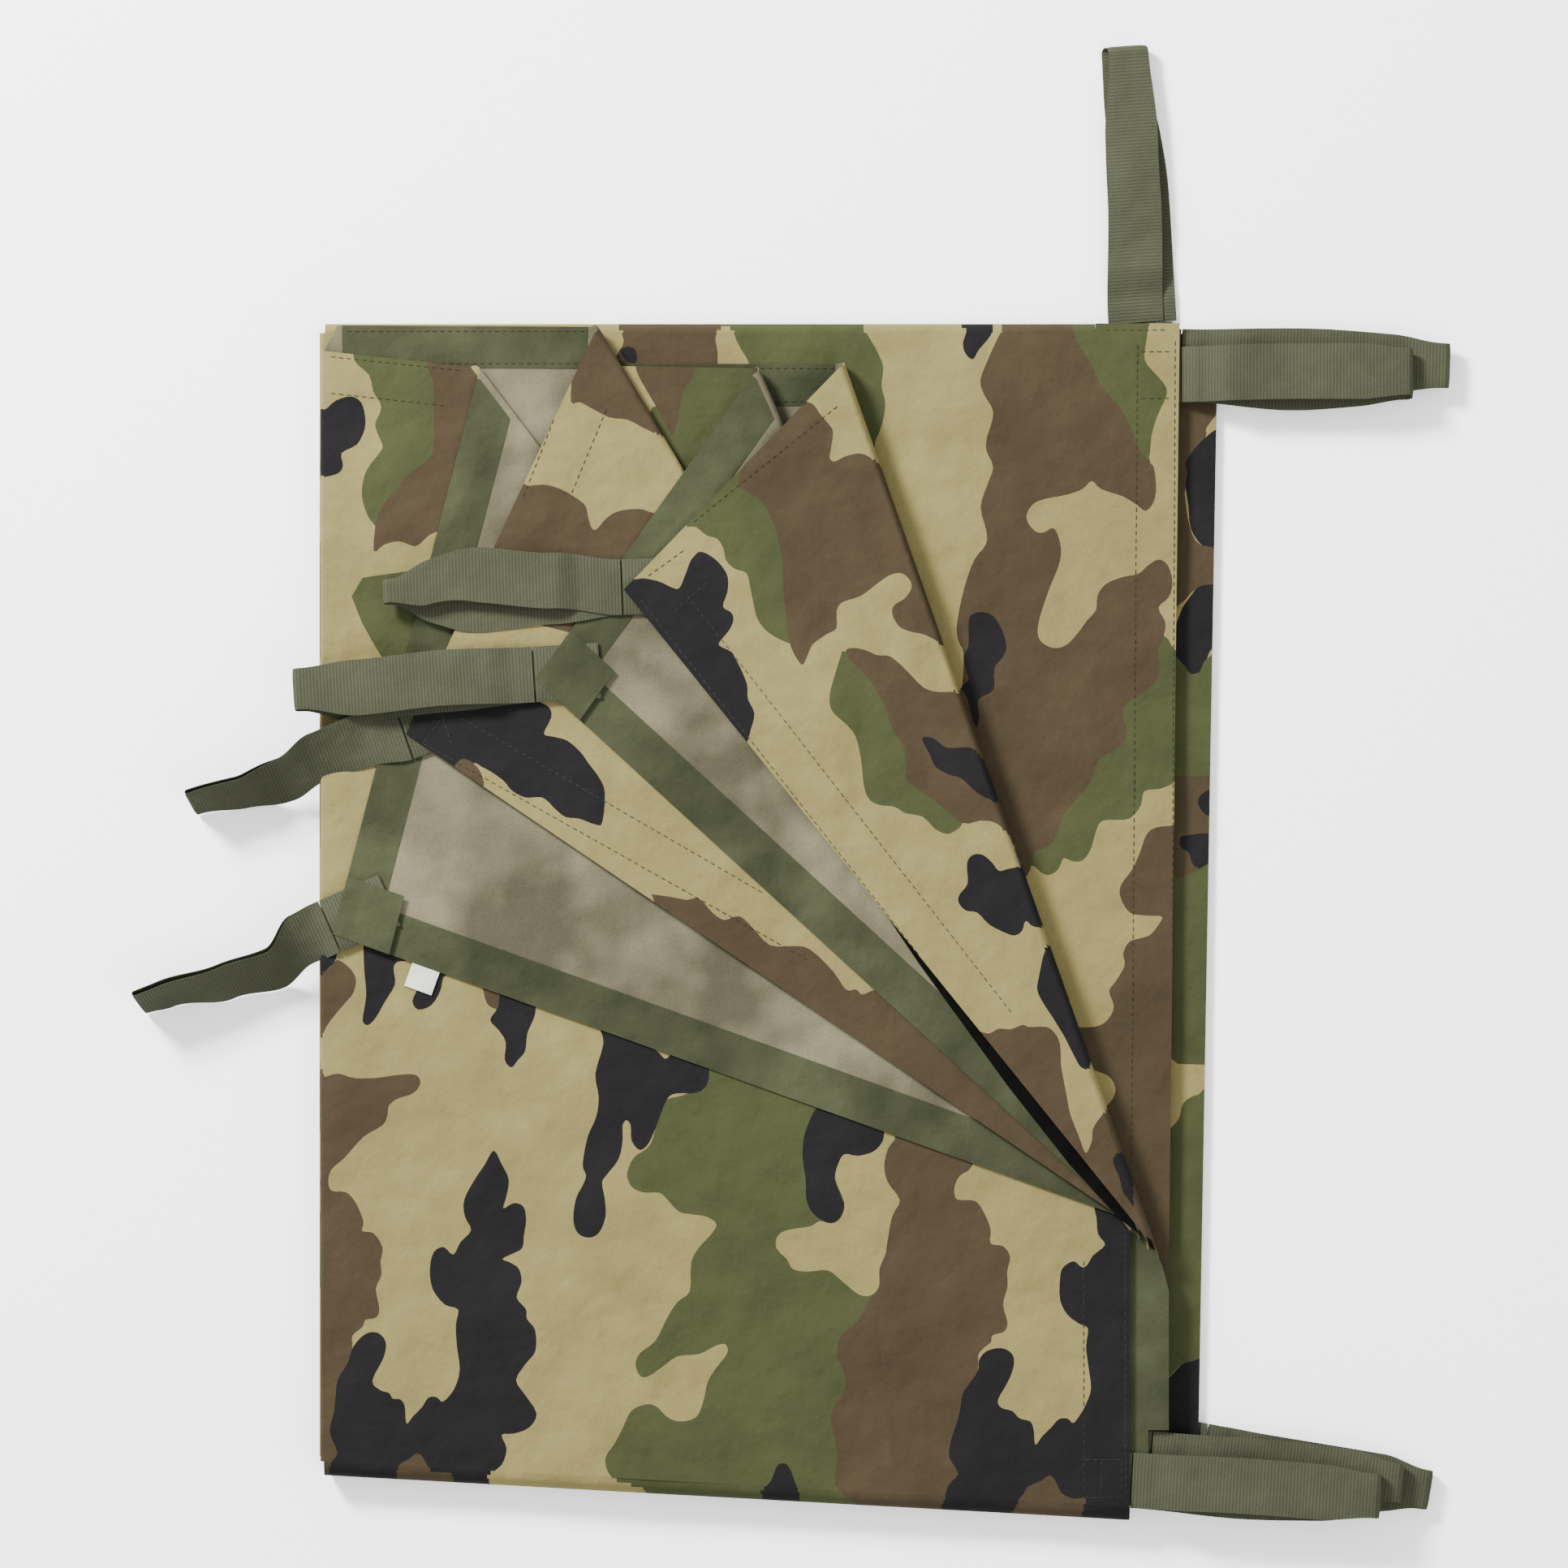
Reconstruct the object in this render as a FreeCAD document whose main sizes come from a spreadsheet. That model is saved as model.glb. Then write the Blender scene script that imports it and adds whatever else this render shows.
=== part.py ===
import FreeCAD, Part
import math
import os
import Sketcher

# A soft folding litter: one long coated cloth with webbing hand loops along its two long hems.
# It is folded in half across its width, then into quarters along its length, so it lies as eight
# layers. The four end corners are turned back to the left as a fan of flaps.
# Frame: X across the pile, Y along the litter's length, Z up, base on Z = 0, millimetres.
#
# Layers from the bottom: m k j i (the lower half of the pile) and h g f e (the upper half).
# Flap d is the turned-back corner of layer e, c of f, b of g and a of h.

DIMENSIONS = {
    # thicknesses and the gaps between layers
    "cloth": 0.5,
    "tape": 0.2,
    "webbing": 0.8,
    "slack": 0.1,
    "face_gap": 0.3,
    "seam_gap": 2.2,
    "wide_gap": 4.0,
    # widths
    "tape_width": 19,
    "webbing_width": 25,
    "loop_gap": 4.5,
    "sewn_length": 30,
    # outline of the pile
    "left": -209.5,
    "low_left": -312.5,
    "low_right": -332.7,
    "low_corner": -326,
    "crest": 206.8,
    "notch": 138,
    "top_e": 194,
    "top_f": 205.7,
    "top_g": 189.5,
    "top_h": 188.5,
    "corner_f": -203.5,
    # right hems, at the bottom and at the top of the pile
    "right_e": 153.2,
    "right_f": 157,
    "right_g": 161,
    "right_h": 166,
    "right_i": 170,
    "right_j": 169,
    "right_k": 184.4,
    "right_m": 172,
    "far_i": 176,
    "far_j": 175,
    "far_k": 193.6,
    "far_m": 180,
    # each flap: the upper and lower ends of its crease, and its corner
    "crease_d_x": -139.3,
    "crease_d_y": 186.3,
    "root_d_x": 153.2,
    "root_d_y": -196.9,
    "corner_d_x": -205.3,
    "corner_d_y": -68.4,
    "crease_c_x": -86.1,
    "crease_c_y": 205,
    "root_c_x": 157,
    "root_c_y": -201,
    "corner_c_x": -172.3,
    "corner_c_y": 21.5,
    "crease_b_x": -13.8,
    "crease_b_y": 186.3,
    "root_b_x": 161,
    "root_b_y": -206,
    "corner_b_x": -114,
    "corner_b_y": 46.1,
    "crease_a_x": 24.8,
    "crease_a_y": 188.5,
    "root_a_x": 166,
    "root_a_y": -211.6,
    "corner_a_x": -74.3,
    "corner_a_y": 86.4,
    # where each flap's tapes stop short of its crease
    "end_stop_d": 17,
    "long_stop_d": 32,
    "end_stop_c": 23,
    "long_stop_c": 46,
    "end_stop_b": 19,
    "long_stop_b": 62,
    "end_stop_a": 21,
    "long_stop_a": 56,
    "tape_lap": 24,
    "tape_start": 1.2,
    # the maker's label, sewn under the long hem of flap d
    "label_length": 13,
    "label_depth": 11,
    "label_start": 38,
}

# A loop starts at a point of a hem and heads away from it in plan. Its course gives the height of
# its middle at distances along it. It is closed to its second point and open from its third.
LOOPS = {
    "loop_corner_a": {"x": -75.5, "y": 87.5, "heading": 182, "tip": 104,
                      "course": [(0, 20.9), (18, 21.4), (30, 22.4)]},
    "loop_corner_b": {"x": -115, "y": 48.3, "heading": 183.5, "tip": 105,
                      "course": [(0, 20.9), (8, 21.4), (22, 22.4)]},
    "loop_corner_c": {"x": -173.5, "y": 22, "heading": 199.3, "tip": 100,
                      "course": [(0, 17.4), (14, 18.3), (26, 19.2), (45, 19), (62, 12), (80, 4.6)]},
    "loop_corner_d": {"x": -207, "y": -65, "heading": 203.7, "tip": 91.6,
                      "course": [(0, 17.4), (6, 17.4), (18, 15.5), (34, 9.5), (56, 4.2)]},
    "loop_bottom_front": {"x": 154.2, "y": -314.3, "heading": -3.5, "tip": 109,
                          "course": [(0, 13.9), (8, 14.6), (24, 16.15)]},
    "loop_bottom_middle": {"x": 162.9, "y": -305, "heading": -6, "tip": 111.1,
                           "course": [(0, 10.4), (14, 10.5), (28, 9.75)]},
    "loop_bottom_back": {"x": 187.6, "y": -302.4, "heading": -9.5, "tip": 100.4,
                         "course": [(0, 1.6), (10, 1.9), (24, 3.35)]},
    "loop_top_front": {"x": 177, "y": 183.9, "heading": 0, "tip": 101,
                       "course": [(0, 6.9), (8, 9.5), (22, 13)]},
    "loop_top_back": {"x": 177, "y": 192, "heading": -2, "tip": 118.2,
                      "course": [(0, 5.1), (10, 5.1), (26, 6.6)]},
    "loop_top_up": {"x": 160.6, "y": 207.5, "heading": 94, "tip": 122.2,
                    "course": [(0, 1.6), (10, 1.9), (26, 3.35)]},
}

# The layers and the gaps between them, from the bottom up
STACK = ("m seam_gap k face_gap j wide_gap i face_gap h seam_gap g face_gap f seam_gap e "
         "face_gap d seam_gap c face_gap b seam_gap a").split()
REVERSE_UP = "mjhfdb"  # the layers and flaps whose coated reverse faces up
FOLDS = {"e": "f", "g": "h", "i": "j", "k": "m"}  # each left fold's upper and lower layer

doc = FreeCAD.newDocument("FoldingLitter")
sheet = doc.addObject("Spreadsheet::Sheet", "Dims")
sub_parts = []


def fill_sheet():
    """Puts every driving dimension in the sheet, one to a row, with its name as the alias."""
    values = dict(DIMENSIONS)
    for name, loop in LOOPS.items():
        values.update({f"{name}_{key}": loop[key] for key in ("x", "y", "heading", "tip")})
        for number, (along, height) in enumerate(loop["course"], 1):
            values[f"{name}_along_{number}"] = along
            values[f"{name}_height_{number}"] = height
    for row, (alias, value) in enumerate(values.items(), 1):
        sheet.set(f"A{row}", alias)
        sheet.set(f"B{row}", str(value))
        sheet.setAlias(f"B{row}", alias)
    doc.recompute()


def dim(alias):
    return f"Dims.{alias}"


def level(layer):
    """The height of a layer's underside, as an expression."""
    below = STACK[:STACK.index(layer)]
    return " + ".join(["0"] + [dim(item) if len(item) > 1 else dim("cloth") for item in below])


def keep(item, label):
    """Names a sub-part, which is then written to a file of that name."""
    item.Label = label
    sub_parts.append(item)
    return item


def new_sketch(label, plane):
    body = doc.addObject("PartDesign::Body", label)
    sketch = body.newObject("Sketcher::SketchObject", f"{label}_profile")
    origin_plane = next(o for o in body.Origin.OriginFeatures if o.Role == plane)
    sketch.AttachmentSupport = [(origin_plane, "")]
    sketch.MapMode = "FlatFace"
    return body, sketch


def pin_point(sketch, line, end, place, rough=(1.0, 1.0)):
    """Holds one end of a line, or a centre, at a pair of expressions from the origin."""
    for kind, expression, value in zip(("DistanceX", "DistanceY"), place, rough):
        row = sketch.addConstraint(Sketcher.Constraint(kind, -1, 1, line, end, value))
        sketch.setExpression(f"Constraints[{row}]", expression)


def draw_outline(sketch, places):
    """A closed outline of straight lines through pairs of expressions."""
    count, first = len(places), sketch.GeometryCount
    rough = [FreeCAD.Vector(math.cos(t), math.sin(t), 0)
             for t in (2 * math.pi * n / count for n in range(count))]
    for n in range(count):
        sketch.addGeometry(Part.LineSegment(rough[n], rough[(n + 1) % count]))
    for n in range(count):
        following = first + (n + 1) % count
        sketch.addConstraint(Sketcher.Constraint("Coincident", first + n, 2, following, 1))
        pin_point(sketch, first + n, 1, places[n])


def pad(body, sketch, length, middle=False):
    feature = body.newObject("PartDesign::Pad", f"{body.Name}_pad")
    feature.Profile = sketch
    feature.setExpression("Length", length)
    if middle:
        feature.SideType = "Symmetric"
    return feature


def place(item, x, y, z, turn):
    """Binds an object's place, and its turn about Z, to expressions."""
    for path, expression in (("Base.x", x), ("Base.y", y), ("Base.z", z), ("Rotation.Angle", turn)):
        item.setExpression(f"Placement.{path}", expression)


def plate(layer, label, places):
    """A panel of the cloth: an outline given thickness, at its layer's height."""
    body, sketch = new_sketch(label, "XY_Plane")
    draw_outline(sketch, places)
    pad(body, sketch, dim("cloth"))
    body.setExpression("Placement.Base.z", level(layer))
    return keep(body, label)


def half_heights():
    """The rise of the upper half's layers and of the lower half's, about the fold between them."""
    upper = f"({level('e')} + Dims.cloth - ({level('h')}))"
    lower = f"({level('i')} + Dims.cloth)"
    return upper, lower


def make_layers():
    upper, lower = half_heights()
    for layer, flap in zip("efgh", "dcba"):
        low_left = (dim("left"), f"Dims.low_left + {upper}")
        low_right = (dim(f"right_{layer}"), f"Dims.low_right + {upper}")
        crease = [(dim(f"{end}_{flap}_x"), dim(f"{end}_{flap}_y")) for end in ("root", "crease")]
        if layer == "f":
            top = [(dim("corner_f"), dim("top_f")), (dim("left"), dim("top_e"))]
        else:
            top = [(dim("left"), dim(f"top_{layer}"))]
        plate(layer, f"panel_{layer}", [low_left, low_right] + crease + top)
    for layer in "ijkm":
        low = [(dim("left"), f"Dims.low_left + {lower}"),
               (dim("right_e"), f"Dims.low_right + {lower}"),
               (dim(f"right_{layer}"), f"Dims.low_corner + {lower}")]
        turn = f"({level('i')} + Dims.cloth) / 2"
        top = [(dim(f"far_{layer}"), f"Dims.crest - {turn}"), (dim("left"), f"Dims.crest - {turn}")]
        if layer == "i":
            top[:1] = [(dim("far_i"), dim("crest")), (dim("notch"), dim("crest")),
                       (dim("notch"), f"Dims.crest - {turn}")]
        plate(layer, f"panel_{layer}", low + top)


def make_flaps():
    for flap in "dcba":
        places = [(dim(f"{end}_{flap}_x"), dim(f"{end}_{flap}_y")) for end in ("crease", "corner", "root")]
        plate(flap, f"flap_{flap}", places)


def run(start, end):
    """The length and the bearing from one place to another, as expressions."""
    across, along = f"({end[0]} - ({start[0]}))", f"({end[1]} - ({start[1]}))"
    return f"sqrt({across}^2 + {along}^2)", f"atan2({along}; {across})"


def reverse_side(layer, thickness, lift="0"):
    """The height of something flat against a layer's coated reverse."""
    if layer in REVERSE_UP:
        return f"{level(layer)} + Dims.cloth + {lift}"
    return f"{level(layer)} - ({thickness}) - {lift}"


def strip(label, layer, start, end, before="0", after="0"):
    """A hem tape on a layer's reverse, to the left of the way from start to end."""
    tape = doc.addObject("Part::Box", label)
    length, bearing = run(start, end)
    tape.setExpression("Length", f"{length} - {before} - {after}")
    tape.setExpression("Width", dim("tape_width"))
    tape.setExpression("Height", dim("tape"))
    place(tape, f"{start[0]} + {before} * cos({bearing})", f"{start[1]} + {before} * sin({bearing})",
          reverse_side(layer, dim("tape")), bearing)
    return keep(tape, label)


def make_tapes():
    upper, lower = half_heights()
    for layer, flap in zip("efgh", "dcba"):
        right, top = dim(f"right_{layer}"), dim(f"top_{layer}")
        strip(f"hem_tape_{layer}", layer, (right, f"Dims.low_right + {upper}"),
              (dim(f"root_{flap}_x"), dim(f"root_{flap}_y")), before=dim("tape_start"))
        crease = dim(f"crease_{flap}_x"), dim(f"crease_{flap}_y")
        left = dim("corner_f") if layer == "f" else dim("left")
        strip(f"end_tape_{layer}", layer, crease, (left, crease[1]))
    for layer in "ijkm":
        strip(f"hem_tape_{layer}", layer, (dim(f"right_{layer}"), f"Dims.low_corner + {lower}"),
              (dim(f"far_{layer}"), f"Dims.crest - {lower} / 2"))
    for flap in "dcba":
        crease, corner, root = [(dim(f"{end}_{flap}_x"), dim(f"{end}_{flap}_y"))
                                for end in ("crease", "corner", "root")]
        strip(f"flap_end_tape_{flap}", flap, crease, corner, before=dim(f"end_stop_{flap}"))
        strip(f"flap_hem_tape_{flap}", flap, corner, root, before=dim("tape_lap"),
              after=dim(f"long_stop_{flap}"))


def ring_part(sketch, centre, outer, inner, start, sweep):
    """Part of a ring about a centre, in the sketch's own plane, from a start angle in degrees."""
    first = sketch.GeometryCount
    for radius, size in ((outer, 4.0), (inner, 3.0)):
        circle = Part.Circle(FreeCAD.Vector(0, 0, 0), FreeCAD.Vector(0, 0, 1), size)
        sketch.addGeometry(Part.ArcOfCircle(circle, math.radians(start), math.radians(start + sweep)))
        arc = sketch.GeometryCount - 1
        pin_point(sketch, arc, 3, centre)
        row = sketch.addConstraint(Sketcher.Constraint("Radius", arc, size))
        sketch.setExpression(f"Constraints[{row}]", radius)
    for end in (1, 2):
        angle = math.radians(start if end == 1 else start + sweep)
        way = FreeCAD.Vector(math.cos(angle), math.sin(angle), 0)
        sketch.addGeometry(Part.LineSegment(way * 3, way * 4))
        line = sketch.GeometryCount - 1
        sketch.addConstraint(Sketcher.Constraint("Coincident", line, 1, first + 1, end))
        sketch.addConstraint(Sketcher.Constraint("Coincident", line, 2, first, end))
        square = "Horizontal" if abs(math.sin(angle)) < 0.5 else "Vertical"
        sketch.addConstraint(Sketcher.Constraint(square, line))
        sketch.addConstraint(Sketcher.Constraint("PointOnObject", -1, 1, line))


def make_left_folds():
    """Where each pair of layers joins at the left: half a ring, as long as the pair."""
    for top, under in FOLDS.items():
        body, sketch = new_sketch(f"left_fold_{top}{under}", "XZ_Plane")
        rise = f"({level(top)} - ({level(under)}) - Dims.cloth)"
        ring_part(sketch, ("0", "0"), f"{rise} / 2 + Dims.cloth", f"{rise} / 2", 90, 180)
        upper, lower = half_heights()
        inset = upper if top in "eg" else lower
        end = {"e": "Dims.top_e", "g": "Dims.top_h"}.get(top, f"Dims.crest - {lower} / 2")
        pad(body, sketch, f"{end} - Dims.low_left - {inset}")
        middle = f"({level(under)} + Dims.cloth + {level(top)}) / 2"
        place(body, dim("left"), end, f"({middle})", "0")
        keep(body, f"left_fold_{top}{under}")


def make_bottom_folds():
    """The nested folds at the bottom, cut at the height where the pile opens."""
    upper, lower = half_heights()
    length, bearing = run((dim("left"), dim("low_left")), (dim("right_e"), dim("low_right")))
    halves = {"upper": ("efg", upper, level("h"), 0), "lower": ("mkj", lower, "", -90)}
    for half, (layers, rise, floor, start) in halves.items():
        body, sketch = new_sketch(f"bottom_folds_{half}", "YZ_Plane")
        for layer in layers:
            if half == "upper":
                outer = f"{level(layer)} + Dims.cloth - ({floor})"
            else:
                outer = f"{rise} - ({level(layer)})"
            ring_part(sketch, ("0", "0"), outer, f"{outer} - Dims.cloth", start, 90)
        pad(body, sketch, length)
        height = level("h") if half == "upper" else rise
        place(body, dim("right_e"), f"Dims.low_right + {rise}", f"({height})",
              f"{bearing} + 180 deg")
        keep(body, f"bottom_folds_{half}")


def make_top_folds():
    """Where i turns into m, and j into k inside it, along the top of the lower half."""
    upper, lower = half_heights()
    body, sketch = new_sketch("top_folds", "YZ_Plane")
    inner_rise = f"({level('j')} + Dims.cloth - ({level('k')}))"
    for rise, middle in ((lower, f"{lower} / 2"),
                         (inner_rise, f"({level('k')} + {inner_rise} / 2)")):
        centre = ("0", f"{middle} - {lower} / 2")
        ring_part(sketch, centre, f"{rise} / 2", f"{rise} / 2 - Dims.cloth", -90, 180)
    pad(body, sketch, "Dims.notch - Dims.left")
    place(body, dim("left"), f"Dims.crest - {lower} / 2", f"({lower} / 2)", "0")
    keep(body, "top_folds")


def make_loops():
    """Each hand loop: a band of webbing closed on itself, its legs apart from near its hem."""
    web, gap = DIMENSIONS["webbing"], DIMENSIONS["loop_gap"] / 2
    for label, loop in LOOPS.items():
        body, sketch = new_sketch(label, "XZ_Plane")
        course = loop["course"] + [(loop["tip"], loop["course"][-1][1])]
        names = [(dim(f"{label}_along_{n}"), dim(f"{label}_height_{n}"))
                 for n in range(1, len(course))]
        names.append((dim(f"{label}_tip"), names[-1][1]))
        opened = len(course) - 2
        outer = [("Dims.webbing", web)] * 2 + [("(Dims.loop_gap / 2 + Dims.webbing)", gap + web)] * opened
        inner = [("Dims.loop_gap / 2", gap)] * opened
        draw_band(sketch, names, course, outer, None)
        draw_band(sketch, names[2:], course[2:], inner, (names[1], course[1]))
        pad(body, sketch, dim("webbing_width"), middle=True)
        place(body, dim(f"{label}_x"), dim(f"{label}_y"), "0", f"{dim(label + '_heading')} * 1 deg")
        keep(body, label)


def draw_band(sketch, names, course, halves, apex):
    """An outline above and below a course, round an arc at its far end. Its near end is the apex,
    or else a straight edge. Each place is given as expressions and as its own rough numbers."""
    above = [((x, f"{z} + {half}"), (u, v + rise))
             for (x, z), (u, v), (half, rise) in zip(names, course, halves)]
    below = [((x, f"{z} - {half}"), (u, v - rise))
             for (x, z), (u, v), (half, rise) in zip(names, course, halves)]
    way = ([apex] if apex else []) + above + below[::-1]
    first, count = sketch.GeometryCount, len(way)
    turn = count - len(below) - 1
    for n in range(count):
        here, there = [FreeCAD.Vector(*way[i % count][1], 0) for i in (n, n + 1)]
        if n == turn:
            bulge = (here + there) / 2 + FreeCAD.Vector(here.distanceToPoint(there) / 2, 0, 0)
            sketch.addGeometry(Part.Arc(here, bulge, there))
        else:
            sketch.addGeometry(Part.LineSegment(here, there))
    # an arc drawn clockwise keeps its ends in the other order
    ends = [(first + n, (2, 1) if n == turn else (1, 2)) for n in range(count)]
    for n in range(count):
        (line, (start, end)), (after, (after_start, _)) = ends[n], ends[(n + 1) % count]
        sketch.addConstraint(Sketcher.Constraint("Coincident", line, end, after, after_start))
        pin_point(sketch, line, start, *way[n])
    u = course[-1][0]
    row = sketch.addConstraint(Sketcher.Constraint("DistanceX", -1, 1, first + turn, 3, u))
    sketch.setExpression(f"Constraints[{row}]", names[-1][0])


def sewn_end(label):
    """The part of a loop that is sewn under its hem."""
    block = doc.addObject("Part::Box", f"{label}_sewn_end")
    block.setExpression("Length", dim("sewn_length"))
    block.setExpression("Width", dim("webbing_width"))
    block.setExpression("Height", "Dims.webbing * 2")
    heading = f"{dim(label + '_heading')} * 1 deg"
    back, half = dim("sewn_length"), "Dims.webbing_width / 2"
    place(block, f"{dim(label + '_x')} - {back} * cos({heading}) + {half} * sin({heading})",
          f"{dim(label + '_y')} - {back} * sin({heading}) - {half} * cos({heading})",
          f"{dim(label + '_height_1')} - Dims.webbing", heading)
    return block


def make_sewn_ends():
    for flap in "abcd":
        keep(sewn_end(f"loop_corner_{flap}"), f"sewn_end_{flap}")
    groups = {"sewn_ends_upper": ["loop_bottom_front", "loop_bottom_middle"],
              "sewn_ends_lower": ["loop_bottom_back", "loop_top_front", "loop_top_back", "loop_top_up"]}
    for label, loops in groups.items():
        group = doc.addObject("Part::Compound", label)
        group.Links = [sewn_end(name) for name in loops]
        keep(group, label)


def make_label():
    """A blank label that stands out past the long hem of flap d."""
    label = doc.addObject("Part::Box", "label")
    corner, root = [(dim(f"{end}_d_x"), dim(f"{end}_d_y")) for end in ("corner", "root")]
    _, bearing = run(corner, root)
    reach = "(Dims.label_depth + Dims.slack)"
    label.setExpression("Length", dim("label_length"))
    label.setExpression("Width", dim("label_depth"))
    label.setExpression("Height", dim("cloth"))
    place(label, f"{corner[0]} + Dims.label_start * cos({bearing}) + {reach} * sin({bearing})",
          f"{corner[1]} + Dims.label_start * sin({bearing}) - {reach} * cos({bearing})",
          level("d"), bearing)
    keep(label, "label")


def check_and_write():
    doc.recompute()
    for item in doc.Objects:
        if "Invalid" in item.State or "Error" in item.State:
            raise RuntimeError(f"{item.Label} did not recompute: {item.State}")
    whole = FreeCAD.BoundBox()
    os.makedirs("parts", exist_ok=True)
    for item in sub_parts:
        shape = item.Shape
        if shape.isNull() or not shape.isValid() or shape.Volume <= 0:
            raise RuntimeError(f"{item.Label} has no valid solid")
        whole.add(shape.BoundBox)
    for item in sub_parts:
        item.Shape.exportStep(os.path.join("parts", f"{item.Label}.step"))
    print(len(sub_parts), "sub-parts, from", [round(v, 2) for v in (whole.XMin, whole.YMin, whole.ZMin)],
          "to", [round(v, 2) for v in (whole.XMax, whole.YMax, whole.ZMax)])


fill_sheet()
make_layers()
make_flaps()
make_tapes()
make_left_folds()
make_bottom_folds()
make_top_folds()
make_loops()
make_sewn_ends()
make_label()
check_and_write()
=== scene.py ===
import math
import random

import bpy
import numpy as np
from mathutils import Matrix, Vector
from mathutils.geometry import delaunay_2d_cdt


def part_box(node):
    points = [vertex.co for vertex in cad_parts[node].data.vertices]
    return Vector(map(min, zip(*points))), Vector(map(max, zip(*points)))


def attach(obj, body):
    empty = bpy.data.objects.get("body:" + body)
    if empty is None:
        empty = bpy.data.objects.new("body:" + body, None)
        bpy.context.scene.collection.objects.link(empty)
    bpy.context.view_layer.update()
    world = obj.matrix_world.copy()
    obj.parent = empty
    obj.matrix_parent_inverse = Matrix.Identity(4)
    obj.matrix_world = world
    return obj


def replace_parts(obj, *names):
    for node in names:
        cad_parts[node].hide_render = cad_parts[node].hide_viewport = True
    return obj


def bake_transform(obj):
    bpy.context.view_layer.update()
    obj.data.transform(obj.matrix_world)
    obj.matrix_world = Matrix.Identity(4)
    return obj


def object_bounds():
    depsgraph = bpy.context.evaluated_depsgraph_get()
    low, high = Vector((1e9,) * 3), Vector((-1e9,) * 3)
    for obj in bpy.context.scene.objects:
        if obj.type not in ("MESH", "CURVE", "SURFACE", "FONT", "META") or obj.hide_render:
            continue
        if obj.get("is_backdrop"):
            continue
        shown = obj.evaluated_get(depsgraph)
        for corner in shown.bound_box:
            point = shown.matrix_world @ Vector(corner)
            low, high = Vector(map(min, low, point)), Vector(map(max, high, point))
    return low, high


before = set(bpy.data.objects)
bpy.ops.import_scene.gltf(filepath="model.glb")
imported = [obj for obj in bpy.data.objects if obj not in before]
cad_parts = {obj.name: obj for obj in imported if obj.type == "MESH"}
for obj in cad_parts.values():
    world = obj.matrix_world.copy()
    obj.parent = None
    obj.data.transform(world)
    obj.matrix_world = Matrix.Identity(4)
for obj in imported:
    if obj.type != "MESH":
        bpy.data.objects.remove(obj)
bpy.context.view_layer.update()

# Every length below is in millimetres until a mesh is made, and a mesh is in metres.
MM = 0.001

# The materials' thicknesses and widths.
CLOTH = 0.5
TAPE = 0.2
TAPE_WIDTH = 19.0
WEBBING = 0.8
WEBBING_WIDTH = 25.0
RIB = 1.5  # from rib to rib of the webbing
SEWN_HALF = 0.656  # half the thickness of a loop's sewn end
LOOP_OPEN = 2.65  # from the middle of an open loop to the middle of either leg
LIMP_OPEN = 1.1  # the same for a loop that hangs limp

# The pile's edges: the folds at the left and top, and the fold at the bottom, which slopes to the right.
LEFT = -209.5
LOW_LEFT = -312.5
LOW_RIGHT = -332.7
LOW_CORNER = -326.0
CREST = 206.8
TOP_FOLD_END = 138.0
# How far the layers stop short of the folds that join them.
TOP_TURN = 4.25
UPPER_INSET = 6.7
LOWER_INSET = 8.5
CREASE_INSET = 3.0

# The cloth lies in eight layers, e f g h over i j k m, and four corners are turned back over them as the
# flaps d c b a. Here are the height of each one's underside, and those whose printed face is up.
LEVEL = {"m": 0.0, "k": 2.7, "j": 3.5, "i": 8.0, "h": 8.8, "g": 11.5, "f": 12.3, "e": 15.0,
         "d": 15.8, "c": 18.5, "b": 19.3, "a": 22.0}
PRINT_UP = "aceikg"
FLAP_OF = {"e": "d", "f": "c", "g": "b", "h": "a"}
PANEL_OF = {flap: panel for panel, flap in FLAP_OF.items()}
# The two ends of each flap's crease, its tip, and the right and top left ends of the layers.
CREASE = {"a": ((24.8, 188.5), (166.0, -211.6)), "b": ((-13.8, 186.3), (161.0, -206.0)),
          "c": ((-86.1, 205.0), (157.0, -201.0)), "d": ((-139.3, 186.3), (153.2, -196.9))}
TIP = {"a": (-74.3, 86.4), "b": (-114.0, 46.1), "c": (-172.3, 21.5), "d": (-205.3, -68.4)}
RIGHT = {"e": 153.2, "f": 157.0, "g": 161.0, "h": 166.0}
TOP_LEFT = {"e": [(LEFT, 194.0)], "f": [(-203.5, 205.7), (LEFT, 194.0)], "g": [(LEFT, 189.5)],
            "h": [(LEFT, 188.5)]}
RIGHT_LOWER = {"i": (170.0, 176.0), "j": (169.0, 175.0), "k": (184.4, 193.6), "m": (172.0, 180.0)}

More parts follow.
